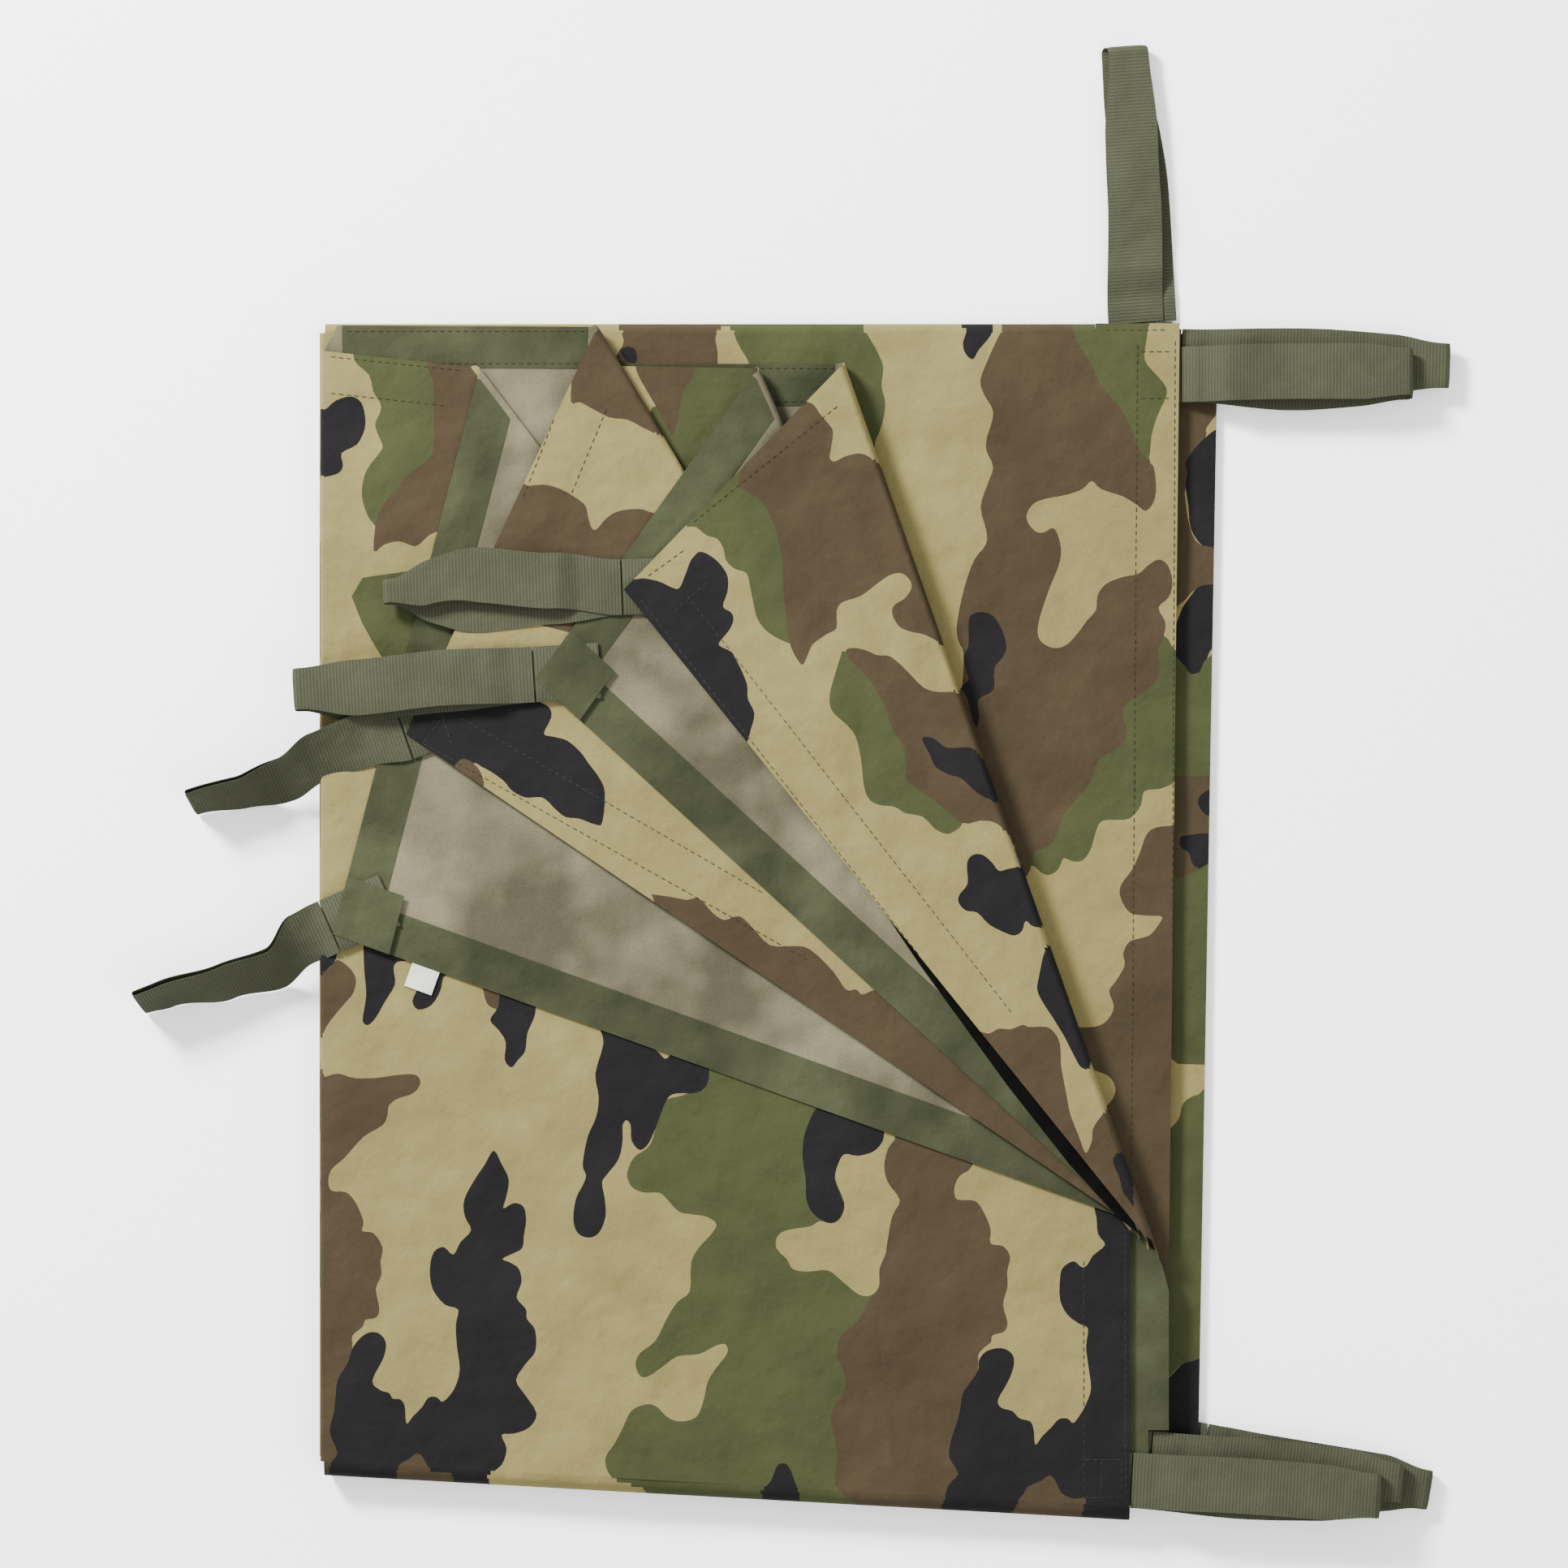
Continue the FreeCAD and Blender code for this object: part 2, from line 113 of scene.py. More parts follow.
# Each patch of the print is a colour and the points of its smooth outline. Later patches lie over earlier
# ones, and tan is the ground.
PRINTS = {
    "e": [
        ["brown", (-216, -135), (-209, -132.7), (-203, -131.2), (-195.5, -133.2), (-185, -133),
         (-176, -131.7), (-168.3, -131.7), (-165.9, -135.3), (-169.1, -140), (-176, -142.4), (-180, -145.5),
         (-180.8, -150), (-183, -154.5), (-191.5, -159.6), (-200, -169), (-206, -174.4), (-207.4, -180),
         (-205.8, -184), (-199.6, -184.5), (-195.4, -188.8), (-191.6, -197.5), (-192.2, -202), (-187.1, -203),
         (-183, -209.4), (-183.9, -216), (-183.5, -222), (-186, -228), (-184.4, -237), (-186, -241),
         (-190.7, -242), (-192, -245.2), (-196.6, -249.2), (-196.6, -255), (-200, -268), (-200, -295),
         (-200, -308), (-210, -313), (-216, -313)],
        ["brown", (-216, -84), (-208, -84.5), (-203.8, -80), (-198.5, -83), (-195, -88.3), (-196.2, -95),
         (-200, -99.6), (-204.5, -105), (-208.3, -110.2), (-211.5, -117), (-216, -118)],
        ["black", (-216, -70), (-204, -72), (-203.6, -78), (-205.5, -82), (-210, -86), (-216, -90)],
        ["green", (-34, -110), (-36, -127), (-38, -136), (-48, -141), (-55.5, -143), (-58.6, -148.3),
         (-61.4, -160.2), (-64.3, -165), (-69.8, -168.8), (-73, -176), (-71, -182), (-65.6, -184.6),
         (-58.5, -184.8), (-54.8, -188), (-49.5, -193.4), (-43, -194.6), (-37, -195.7), (-32.8, -199),
         (-35.3, -203.6), (-40.7, -209.5), (-44.2, -216.2), (-44.8, -229), (-50.2, -233.7), (-55, -241),
         (-60.3, -251.4), (-67.3, -257), (-69.2, -262), (-67.4, -267), (-63.8, -267.6), (-57.3, -263.3),
         (-50.2, -258.4), (-40.7, -257.4), (-33, -253.6), (-28.8, -253), (-28, -257), (-33.2, -264),
         (-36.8, -270), (-38.6, -278), (-42, -285.8), (-50, -287.6), (-55.5, -285.2), (-59.7, -281),
         (-64.4, -280), (-71, -282.8), (-75, -290.6), (-78.7, -297.7), (-82.6, -303.5), (-82.2, -309),
         (-78.7, -313.8), (-70.4, -316.6), (-64.6, -320), (-64, -345), (40, -345), (40, -230), (60, -150),
         (30, -110)],
        ["tan", (47.7, -159), (44.3, -165), (42.6, -173), (44.3, -180), (49.8, -188.3), (46.4, -195),
         (45, -201.4), (43.7, -210.8), (40.6, -219), (40.3, -227), (36.4, -231), (31, -230.4), (23.4, -224.3),
         (17.4, -219.8), (7.9, -220.3), (1.4, -219), (-1, -214.8), (-5.9, -209.6), (-5, -204), (0, -201.4),
         (9.3, -200), (13.6, -197.6), (18.7, -198.5), (22.8, -196), (24.8, -189.3), (20.7, -178.5),
         (22, -169.8), (25, -167), (35, -160), (42, -150)],
        ["black", (15, -132), (13.4, -144), (10, -150.2), (6.6, -159.6), (6, -169), (7.3, -178.5),
         (7.7, -188), (10.6, -194), (15.4, -197.6), (19.4, -198.5), (22.8, -196.3), (24.8, -191.3),
         (23.4, -186.6), (20.8, -180), (20.6, -176.5), (22.6, -170.4), (25.1, -167.4), (30.9, -168.2),
         (37.6, -166.4), (41.6, -162.3), (42.8, -157), (44, -140), (30, -130)],
        ["brown", (56, -150), (49, -159.9), (45.7, -163.7), (43, -170.4), (44.3, -180), (49.7, -188),
         (46.4, -195), (44.3, -205.5), (43, -213.6), (40.5, -219), (40.3, -227), (35, -234.4), (31, -242),
         (24.2, -248), (22.1, -252.6), (21.4, -258), (24.1, -264.8), (25.1, -272.9), (20.1, -281),
         (18.5, -287), (20.6, -295.8), (21.4, -305), (20.7, -316), (25.5, -321.6), (31, -327), (31, -345),
         (78, -345), (80, -300), (84.8, -265), (85, -258), (87.5, -254.7), (90.8, -252), (91.4, -249),
         (96.6, -247.4), (98.2, -243.2), (96.2, -235.2), (98.2, -227), (98, -220.3), (99.3, -213.6),
         (96.2, -208.8), (90.6, -207.6), (90.6, -201.4), (88.1, -194.7), (84.8, -189.4), (81.4, -188.1),
         (75.3, -187.7), (74.3, -182.6), (76.7, -177.2), (82.1, -173), (84, -160)],
        ["black", (150, -175), (137.5, -186), (138.2, -196), (138.9, -203.5), (142, -208.2), (136.7, -212.9),
         (134, -217.2), (131.6, -218.3), (127.9, -215.6), (123.2, -218.3), (121.8, -223), (121.8, -233),
         (125.2, -239.8), (130.6, -243.9), (134.4, -246), (133.5, -254), (134.6, -263.4), (135.7, -272.9),
         (133.6, -279.6), (130.6, -285), (127.7, -288.4), (125.2, -286.4), (121.2, -286.7), (117.8, -290.4),
         (113.7, -294.4), (110.7, -298.2), (110, -291.7), (108.4, -287.7), (103.6, -286.3), (100.3, -283),
         (95.5, -281.6), (93.9, -278), (98.2, -270.2), (101, -262.8), (100.3, -257.4), (95.5, -254.7),
         (88.8, -256), (85.4, -260), (84.8, -265), (81.4, -270.2), (78, -275.5), (76.7, -283.6),
         (74.7, -290.4), (72.6, -297), (72, -304), (76, -311.3), (72, -316), (69.7, -324), (70, -345),
         (168, -345), (168, -180)],
        ["brown", (98, -345), (102, -326), (105.6, -320), (107.5, -317), (113, -314.6), (117.1, -312),
         (119.8, -314.6), (122.5, -320), (127.9, -322.5), (133.5, -322.6), (131.3, -331), (131, -345)],
        ["black", (-12, -345), (-11.7, -323), (-13.2, -320), (-8.4, -314.6), (-5.7, -308), (-3, -306.6),
         (-0.3, -308), (2.4, -314.6), (5.1, -324), (5, -345)],
        ["black", (-62, -100), (-86, -100), (-85.5, -110), (-83.7, -117.7), (-87.3, -131.2), (-85.8, -141.8),
         (-87, -150.8), (-90.8, -159.8), (-93, -172), (-91.5, -177), (-93, -181.5), (-96, -187.4),
         (-97.2, -196.9), (-95.2, -202.9), (-90.4, -205), (-85.7, -202.9), (-82.7, -195.7), (-83, -187.4),
         (-84.2, -180.3), (-82.2, -176.8), (-76.8, -169.7), (-75, -161.3), (-75, -154.6), (-73.3, -152.2),
         (-71.4, -154.6), (-71, -161.3), (-67.3, -165.6), (-63.2, -162.5), (-59.6, -154.2), (-55.2, -143),
         (-50.8, -140.2), (-41.8, -139.9), (-36.8, -135.7), (-36, -126.7), (-35, -112)],
        ["tan", (-62, -114), (-61, -119.5), (-58.5, -122), (-55.7, -124.6), (-53, -122), (-49.5, -119),
         (-52, -113)],
        ["black", (-133, -165.8), (-129.4, -172), (-126.2, -179), (-127.4, -187), (-128.6, -191.8),
         (-124, -189.4), (-119.6, -191), (-118.4, -197), (-119.4, -204), (-120.2, -209.8), (-125.2, -212.5),
         (-129, -214.6), (-125.4, -216.2), (-121.6, -219), (-120.4, -225), (-122.6, -231.8), (-118.4, -237),
         (-118, -241.4), (-114.3, -246.5), (-114.2, -256), (-118.4, -261.5), (-122.9, -269), (-119, -275.5),
         (-113.7, -284), (-117, -290.4), (-124, -293.2), (-129.4, -293.8), (-127.2, -300), (-129.6, -307.5),
         (-136.8, -313.2), (-134.4, -317), (-134, -345), (-216, -345), (-216, -314), (-208.4, -312),
         (-206, -306), (-203.4, -301.8), (-206.8, -292.4), (-205, -284), (-204.2, -277), (-203.2, -269),
         (-198.6, -261.2), (-196.2, -254), (-190.6, -248.2), (-185, -247.8), (-181.5, -252), (-182.5, -259),
         (-187.6, -269.4), (-184, -273.6), (-180.2, -274.8), (-178.4, -277.4), (-175, -277.8), (-173, -281),
         (-172.3, -288.6), (-169.4, -285.4), (-165.4, -281.4), (-162.4, -277), (-158.6, -276.8),
         (-155.8, -278.8), (-150.8, -273), (-148.3, -264.5), (-149.5, -254), (-150, -244), (-149, -237.2),
         (-155, -235), (-160.5, -228), (-161.7, -219), (-160, -211.5), (-155.5, -209.2), (-151.2, -212.6),
         (-148, -207), (-143.2, -201.6), (-146, -195.5), (-146.3, -188), (-142, -179.5), (-137, -172)],
        ["brown", (-177, -345), (-177, -315), (-176, -308), (-171, -304.5), (-167.5, -302.2), (-164.8, -304),
         (-162, -309), (-158, -311.4), (-152.4, -311.6), (-151, -316), (-151, -345)],
        ["black", (-190.5, -66), (-180, -68), (-170, -74), (-171.5, -80), (-176.4, -81), (-178, -84),
         (-177.4, -91), (-182, -99), (-186, -106), (-189.6, -109.4), (-192, -107.4), (-191, -100.6),
         (-190.4, -94), (-191.4, -82)],
        ["black", (-160, -76), (-170, -78), (-167.6, -85), (-167, -92), (-169.6, -98.4), (-167, -102.4),
         (-161, -100.4), (-157, -94), (-155.6, -88), (-152, -84)],
        ["brown", (-138, -84), (-137, -97), (-134, -101.4), (-129, -101), (-126, -88)],
        ["black", (-128, -88), (-131, -101), (-134.6, -107), (-131, -111.4), (-127.6, -117), (-128, -125),
         (-125, -128.4), (-122, -125), (-118.8, -121), (-117.8, -113), (-114.8, -106), (-113.8, -100),
         (-112, -90)],
        ["green", (-197, 210), (-196.6, 195), (-195, 188.6), (-189.2, 183.2), (-187.2, 175.7), (-184, 170.2),
         (-184.2, 166.3), (-186.4, 160.3), (-183.2, 151.8), (-184.2, 148.4), (-190.2, 140.4), (-192.4, 131.5),
         (-191.2, 123.5), (-187, 116), (-178, 112), (-150, 140), (-140, 210)],
        ["brown", (-163.5, 210), (-162.9, 188), (-160.4, 180), (-160, 156), (-161.4, 146.4), (-170.3, 139.4),
         (-178.3, 130.5), (-185.2, 120), (-187, 104), (-182.2, 106.8), (-175.3, 108.2), (-168.3, 106),
         (-163.4, 109.8), (-159, 112.5), (-140, 120), (-110, 190), (-110, 210)],
        ["black", (-216, 168), (-209.8, 167.2), (-204.1, 171.7), (-197.1, 173.5), (-192.6, 170.7),
         (-190.8, 164.3), (-191.2, 158.3), (-194.6, 151.8), (-201.4, 148), (-200.8, 142.4), (-203.1, 138.8),
         (-210.5, 137), (-216, 137)],
        ["green", (-192, 92), (-187, 62), (-176, 52), (-160, 50), (-120, 60), (-110, 92)],
        ["brown", (-70, 20), (-40, 60), (-10, 50), (0, 10), (40, -10), (60, -60), (20, -80), (-20, -50),
         (-60, -40)],
        ["green", (-150, 60), (-110, 110), (-70, 120), (-60, 80), (-100, 40), (-120, 0), (-160, 10)],
        ["black", (-30, 110), (0, 130), (40, 100), (60, 40), (40, 20), (10, 60)],
    ],
    "i": [
        ["green", (-30, 215), (34, 215), (33.1, 206.3), (36, 200.6), (39.8, 193.8), (42.4, 187),
         (41.6, 178.5), (43.2, 171.7), (42.5, 164), (38.9, 154), (30, 140), (-20, 170)],
        ["brown", (-75, 215), (-74.6, 199), (-77.5, 193), (-80, 180), (-32, 180), (-32.3, 193.8),
         (-33.3, 200.6), (-32, 215)],
        ["black", (-76.2, 194.2), (-73.6, 196.2), (-70.3, 195.8), (-68.8, 192.9), (-69.4, 189),
         (-73.4, 189.8)],
        ["tan", (-33, 201), (-31.5, 204.2), (-28.6, 205.4), (-26, 204), (-22.7, 196.7), (-18, 188),
         (-20, 180), (-31, 180), (-32.4, 195.8)],
        ["black", (78, 215), (78.1, 206), (79.6, 202.8), (78.2, 197.6), (79.5, 193), (82.8, 190.6),
         (85.5, 194.9), (90.8, 201.3), (91.4, 206), (91, 215)],
        ["green", (176, 58.4), (185, 58), (185, 3), (176, 3.3), (173.3, -0.4), (167, -3.1), (160.1, -4.1),
         (158.5, -10.5), (154.3, -15.8), (150.1, -17.1), (141.6, -17.4), (138.7, -21.1), (135.8, -30.6),
         (132.1, -35.4), (127.8, -35.8), (123.6, -34.4), (121.5, -39.1), (117.8, -41.8), (114.1, -41.2),
         (110.4, -38), (100, -30), (120, 20), (150, 70), (168.6, 66), (172.3, 61.6)],
        ["brown", (97, 215), (96.6, 206), (92.9, 198.1), (89.2, 189.6), (86.1, 181.2), (87.6, 174.8),
         (91.9, 166.4), (89.2, 155.8), (88.8, 149.5), (91.9, 142.1), (89.5, 134.7), (86.2, 124.1),
         (88.7, 113.5), (88.6, 107.2), (83.4, 100.3), (79.7, 90.3), (77, 79.7), (75.4, 69.1), (76.5, 62.8),
         (78.5, 58), (78, 44), (76, 40), (70, 20), (90, -20), (100, -50), (105.4, -44.6), (108.8, -39.1),
         (110.4, -31.7), (116.2, -29.6), (120.4, -24.3), (123.6, -14.7), (128.9, -8.4), (135.2, -0.9),
         (137.9, 6.5), (140, 10.7), (145.8, 13.9), (151.1, 18.1), (152.2, 23.4), (150.6, 29.8), (151.6, 35.1),
         (157.4, 38.8), (163.8, 43.6), (167, 49.9), (166.4, 59.5), (168.6, 65), (169.6, 72), (166.5, 78.6),
         (171.2, 83.4), (172.8, 90.3), (170.7, 97.7), (166.5, 100.3), (161.7, 97.7), (157.5, 94),
         (150.1, 92.4), (142.6, 89.2), (138.9, 83.9), (138.2, 77.6), (134.2, 72.8), (129.9, 67),
         (124.7, 61.7), (119.4, 60.4), (114.1, 62.8), (112, 67), (113, 74.4), (117.2, 87.1), (121.5, 97.7),
         (122.5, 105.1), (120.9, 111.9), (118.6, 114.6), (115.1, 112.7), (111.4, 112.8), (107.7, 116.7),
         (107.1, 120.9), (110.4, 125.7), (116.2, 127.8), (124.7, 129.4), (132.1, 132), (136.3, 135.6),
         (140.5, 132), (150.1, 128.8), (156.4, 125.1), (160.6, 122.2), (164.3, 126.2), (165.4, 133.6),
         (164.3, 142.1), (162.2, 146.3), (160, 170), (150, 215)],
        ["green", (128.9, 215), (128.9, 206), (129.4, 199.1), (135.2, 189.6), (140.5, 179.1), (150.1, 167.4),
         (155.9, 155), (158.4, 148.6), (162.2, 146), (163.3, 155.8), (166, 165), (170.2, 174.8),
         (168.6, 180.1), (161.9, 187.5), (160.1, 191.7), (160.7, 197), (161.7, 204.4), (161.7, 215)],
        ["black", (80.8, 72.3), (82.4, 75.5), (86.6, 76.7), (91.9, 74.9), (96.1, 68.1), (97.9, 60.7),
         (96, 56), (92.4, 51), (92.1, 41.5), (85.2, 37.2), (85.7, 29.3), (84.3, 24.6), (82.3, 29.3),
         (80, 38.3), (77.6, 42.5), (80.8, 46.2), (79.4, 51), (78.9, 57.4), (80.8, 61.6)],
        ["brown", (185, -19), (175.5, -19.5), (164.9, -20.6), (160.7, -24.3), (158.5, -30.6), (154.8, -39.1),
         (150.1, -45.5), (148.9, -49.7), (150.6, -55), (154.3, -59.3), (161.7, -60.3), (167.8, -60.6),
         (167, -63.6), (162.8, -68.8), (158.5, -70.4), (153.3, -72), (150.5, -77.3), (151.1, -82.7),
         (146.9, -90.1), (144.1, -94.3), (146.3, -101.2), (143.7, -107), (138.4, -110.2), (127.8, -110.8),
         (120, -112), (128, -135), (120, -330), (200, -330)],
        ["tan", (122, -124), (131.5, -127.6), (138.4, -130.3), (144.2, -132.9), (146.9, -137.7),
         (145.8, -142.9), (140, -149.5), (136.4, -155.6), (133.1, -166.4), (120, -160)],
        ["brown", (-216, 150), (-180, 160), (-150, 120), (-160, 60), (-120, 20), (-150, -40), (-216, -30)],
        ["green", (-110, 150), (-60, 160), (-20, 100), (20, 60), (0, 0), (-50, 10), (-90, 60)],
        ["black", (-40, -30), (-60, -90), (-40, -150), (-70, -220), (-30, -240), (-10, -160), (10, -80)],
        ["green", (-216, -120), (-150, -100), (-120, -160), (-150, -240), (-216, -230)],
        ["green", (40, -60), (90, -100), (100, -170), (70, -220), (30, -180)],
        ["brown", (-140, -260), (-90, -250), (-20, -280), (60, -260), (90, -345), (-120, -345)],
    ],
    "c": [
        ["brown", (-112, 218), (-99, 186), (-98.2, 171), (-94.2, 170.7), (-88.7, 167.8), (-80.8, 163.8),
         (-72.8, 162.8), (-65.9, 159.3), (-57.2, 155.4), (-50, 155.6), (-30, 150), (-50, 218)],
        ["brown", (-124, 132), (-117.6, 133), (-109.7, 133.6), (-102.7, 131.6), (-97.2, 128.5),
         (-91.8, 124.5), (-90.5, 119.5), (-88.9, 114.3), (-86.6, 113.6), (-82.8, 118), (-77.8, 121.4),
         (-69.9, 122.7), (-62.9, 121.4), (-50, 112), (-70, 70), (-110, 70), (-150, 96)],
        ["black", (-186, 22), (-172, 38), (-150, 44), (-122, 44), (-113.8, 41), (-113.2, 36.8), (-108, 33.6),
         (-107, 29), (-110.3, 21.8), (-106, 20.4), (-99.8, 18.6), (-94, 13.6), (-90, 8.1), (-85.5, 2),
         (-82.9, -4.8), (-84, -18), (-87, -19.2), (-94.5, -16.5), (-100.5, -15.8), (-105.1, -12.3),
         (-109.6, -7.8), (-113, -6.8), (-118.6, -7), (-124.6, -4), (-128.4, 0.5), (-133.7, 4.3), (-138, 6.6),
         (-143.4, 8.6), (-160, 5)],
        ["brown", (-148, 10), (-142.4, 8.8), (-138.6, 4), (-137.4, -2), (-142, -6), (-152, 2)],
        ["brown", (-60, -56), (-46, -53), (-40.4, -52.5), (-34.3, -58.9), (-29.1, -62), (-22.3, -60.3),
         (-16.3, -65.7), (-8.7, -73.3), (1.8, -73.7), (9.3, -75.2), (19.6, -85), (25.5, -93.3), (30, -93.2),
         (32.9, -95.5), (38.8, -93.4), (43.2, -96.2), (48, -96), (80, -110), (170, -205), (140, -220),
         (20, -120)],
    ],
    "a": [
        ["green", (-46.2, 116), (-42, 114.6), (-37.2, 110.7), (-32.4, 109.2), (-29.5, 104.4), (-28.5, 99.6),
         (-24.7, 95.8), (-19.4, 93.8), (-17.7, 88.1), (-16, 79.4), (-14.1, 72.7), (-9.2, 66.9), (0, 62.2),
         (6, 62), (10, 100), (0, 140), (-18, 152), (-35, 134)],
        ["brown", (2, 176), (7.1, 171.3), (11, 169.3), (13.9, 165), (17.2, 161.2), (19.6, 157.3),
         (18.7, 149.6), (18.1, 145.8), (20.1, 143.8), (25.4, 146.3), (31.7, 147.5), (37, 145.3), (41.8, 141),
         (45.6, 133.3), (62, 120), (82, 66), (70, 60.6), (65.4, 63.8), (60.1, 66.3), (54.8, 67.4),
         (49.5, 69.6), (46.3, 74.9), (46.9, 79.2), (51.6, 82.3), (54.6, 86.6), (54.3, 90.3), (50.6, 93.6),
         (45.3, 92.9), (39.3, 88.9), (32.1, 83.5), (24.1, 80.8), (21.3, 76.8), (21.2, 69.1), (16.9, 66.4),
         (10.6, 61.9), (8.3, 57), (6, 52.6), (3.4, 55.2), (0.7, 60.6), (-0.7, 66.9), (-2, 77.7), (-2.9, 91.1),
         (-3.2, 99.6), (-5.4, 110.2), (-8.3, 118.8), (-13.1, 126.5), (-18.9, 130.4), (-22.7, 133.5),
         (-21, 142), (-12, 160)],
        ["black", (-84, 84), (-69.2, 91), (-61.2, 90.7), (-56.7, 89.3), (-53.1, 87.5), (-49.5, 87),
         (-46.8, 92.9), (-44.6, 98.8), (-43, 101.1), (-40.1, 103.4), (-35.3, 101.5), (-30.5, 97.2),
         (-27.6, 91.9), (-27.8, 85.2), (-29.8, 78.8), (-26.1, 76.1), (-25.1, 72.7), (-27.1, 67.9),
         (-31.6, 62.4), (-30, 60.4), (-26.2, 58.4), (-22.6, 52.5), (-19, 44), (-18.6, 37.3), (-15.7, 31),
         (-17.2, 23.8), (-20.4, 16), (-30, 14), (-50, 40)],
        ["green", (25, 58.6), (23.2, 57), (20.4, 48), (18.1, 39.1), (19.1, 31.9), (25.8, 25.6), (29.8, 20.2),
         (32.1, 10.3), (33.4, -1.3), (35.7, -7.6), (40.2, -10.3), (47.3, -11.2), (51.8, -13.9), (59.9, -15.7),
         (65.4, -21.1), (70.7, -23.3), (74.9, -21.6), (77.8, -18), (80, -5), (60, 30), (40, 56)],
        ["brown", (25.4, 59), (28.5, 60.2), (33.9, 59.3), (39.3, 57), (44.7, 56.6), (49.2, 53.4), (54.6, 48),
         (60.6, 42.2), (67.5, 40.4), (78.1, 40.4), (92, 36), (112, -38), (106, -44), (100.6, -28),
         (97.1, -22.2), (91.9, -18.1), (85.5, -17.4), (77.6, -18.4), (66.5, -9.4), (55.9, -2), (52.2, 2.2),
         (52.7, 10.7), (50.6, 17.1), (46.3, 23.4), (43.2, 33), (41.1, 37.3), (35.7, 46.2), (27.7, 54.3)],
        ["black", (59.6, 19.7), (64.9, 19.5), (70.7, 15.4), (80.2, 15.6), (84.4, 13.4), (88.1, 8.1),
         (91.3, 0.1), (94.4, -8.6), (87.6, -6.8), (82.3, -3.1), (77, 1.7), (71.7, 3.3), (65.9, 6.5),
         (63.3, 11.8)],
        ["black", (79.7, -36.5), (82.3, -32.8), (86.6, -32.6), (90.8, -35.9), (94, -39.8), (97.7, -39.1),
         (102.4, -38.2), (108, -38), (116, -62), (110, -65), (106.1, -62.4), (104.6, -66.7), (101.4, -68.9),
         (97.1, -67.8), (89.7, -64), (84.4, -58.7), (79.2, -57.7), (75.9, -54), (76.5, -50.3), (80, -45.5)],
        ["brown", (70, -114), (78.6, -114.2), (82.3, -112.3), (85.5, -112), (89.7, -112.9), (94, -110.7),
         (99.3, -111), (104.6, -109), (107.7, -110), (115.1, -109.9), (118.8, -112.3), (121.5, -117.6),
         (122, -127.1), (123.1, -133.4), (124.7, -141.9), (126.2, -149.3), (129.9, -158.8), (133.1, -166.6),
         (135.8, -160.9), (136.3, -155.6), (140, -150), (145.8, -142.9), (146.9, -137.7), (144.2, -132.9),
         (138.4, -130.3), (150, -126), (190, -215), (150, -215)],
        ["black", (115.3, -74.6), (111.9, -88), (111.3, -93.3), (113.5, -98.5), (118.3, -105.9),
         (123.5, -114.4), (127.8, -122.9), (131.4, -128.4), (136, -126), (130, -98), (121, -76)],
        ["black", (145.6, -168.6), (147.9, -166.2), (152.1, -167.3), (154.7, -173.6), (154.3, -182),
         (154.6, -190.5), (152, -187), (149.8, -184.2), (148.2, -177.8), (145.6, -171.5)],
    ],
    "g": [
        ["brown", (-76, 196), (-70, 189), (-68, 183), (-60, 169), (-50, 152), (-44, 160), (-46, 174),
         (-40, 186), (-40, 196)],
        ["green", (-40, 196), (-42, 186), (-48, 175), (-50, 163), (-53, 150), (-40, 140), (-10, 170),
         (-10, 196)],
    ],
    "k": [
        ["brown", (165, 215), (198, 215), (194.5, 172), (188.4, 160), (188, 155.8), (180, 142), (165, 140)],
        ["black", (200, 162), (194, 160), (188.1, 155.8), (180.7, 147.4), (178.4, 138.9), (180.2, 125.2),
         (181.3, 114.6), (186, 107.2), (192.4, 105), (200, 105)],
        ["brown", (165, 145), (179, 143), (178.6, 130), (181, 115), (186, 107), (200, 104), (200, 89),
         (185, 88), (176, 80), (165, 80)],
        ["black", (200, 89.4), (192.4, 89.3), (185, 88.2), (179.7, 81.8), (176.4, 76), (172, 60), (177.6, 53),
         (180.7, 48.9), (185, 49.4), (188.1, 54.2), (191.3, 60.6), (200, 62)],
        ["green", (165, 60), (177, 54), (181, 49), (185, 49.4), (189, 56), (200, 58), (200, 0), (165, 0)],
        ["brown", (165, 0), (200, 0), (200, -24), (165, -24)],
        ["black", (184.6, -8), (187.4, -4.6), (192, -4), (192, -15), (188, -14.6), (185.4, -11.6)],
        ["brown", (165, -24), (200, -24), (200, -40), (188, -40), (184, -40), (176, -44), (165, -48)],
        ["black", (200, -24), (180, -24), (176.4, -26), (177, -29.6), (180.4, -32), (182.4, -37.4),
         (188.6, -40), (200, -41)],
        ["green", (165, -44), (176, -44), (184, -40), (200, -40), (200, -119.4), (165, -118.6)],
        ["green", (200, -140), (185, -141), (178, -145), (176, -152), (171, -157), (165, -158), (165, -268),
         (171, -269), (176, -264), (183, -261.6), (200, -261)],
        ["black", (165, -270), (171, -269.4), (176, -264.2), (182, -261.6), (200, -261), (200, -312),
         (165, -312)],
        ["brown", (-200, 190), (-120, 170), (-100, 90), (-160, 20), (-200, 60)],
        ["green", (-90, 150), (0, 180), (60, 120), (40, 30), (-40, 20), (-80, 80)],
        ["black", (-60, -20), (20, -40), (40, -120), (10, -220), (-50, -200), (-40, -110)],
        ["brown", (60, -60), (130, -20), (150, -140), (110, -260), (50, -240)],
    ],
}

# How many patches at the end of a print lie only where the pile hides the cloth. A formula gives them lobes.
HIDDEN_PATCHES = {"e": 3, "i": 6, "k": 4}
LOBE_STEPS = 9

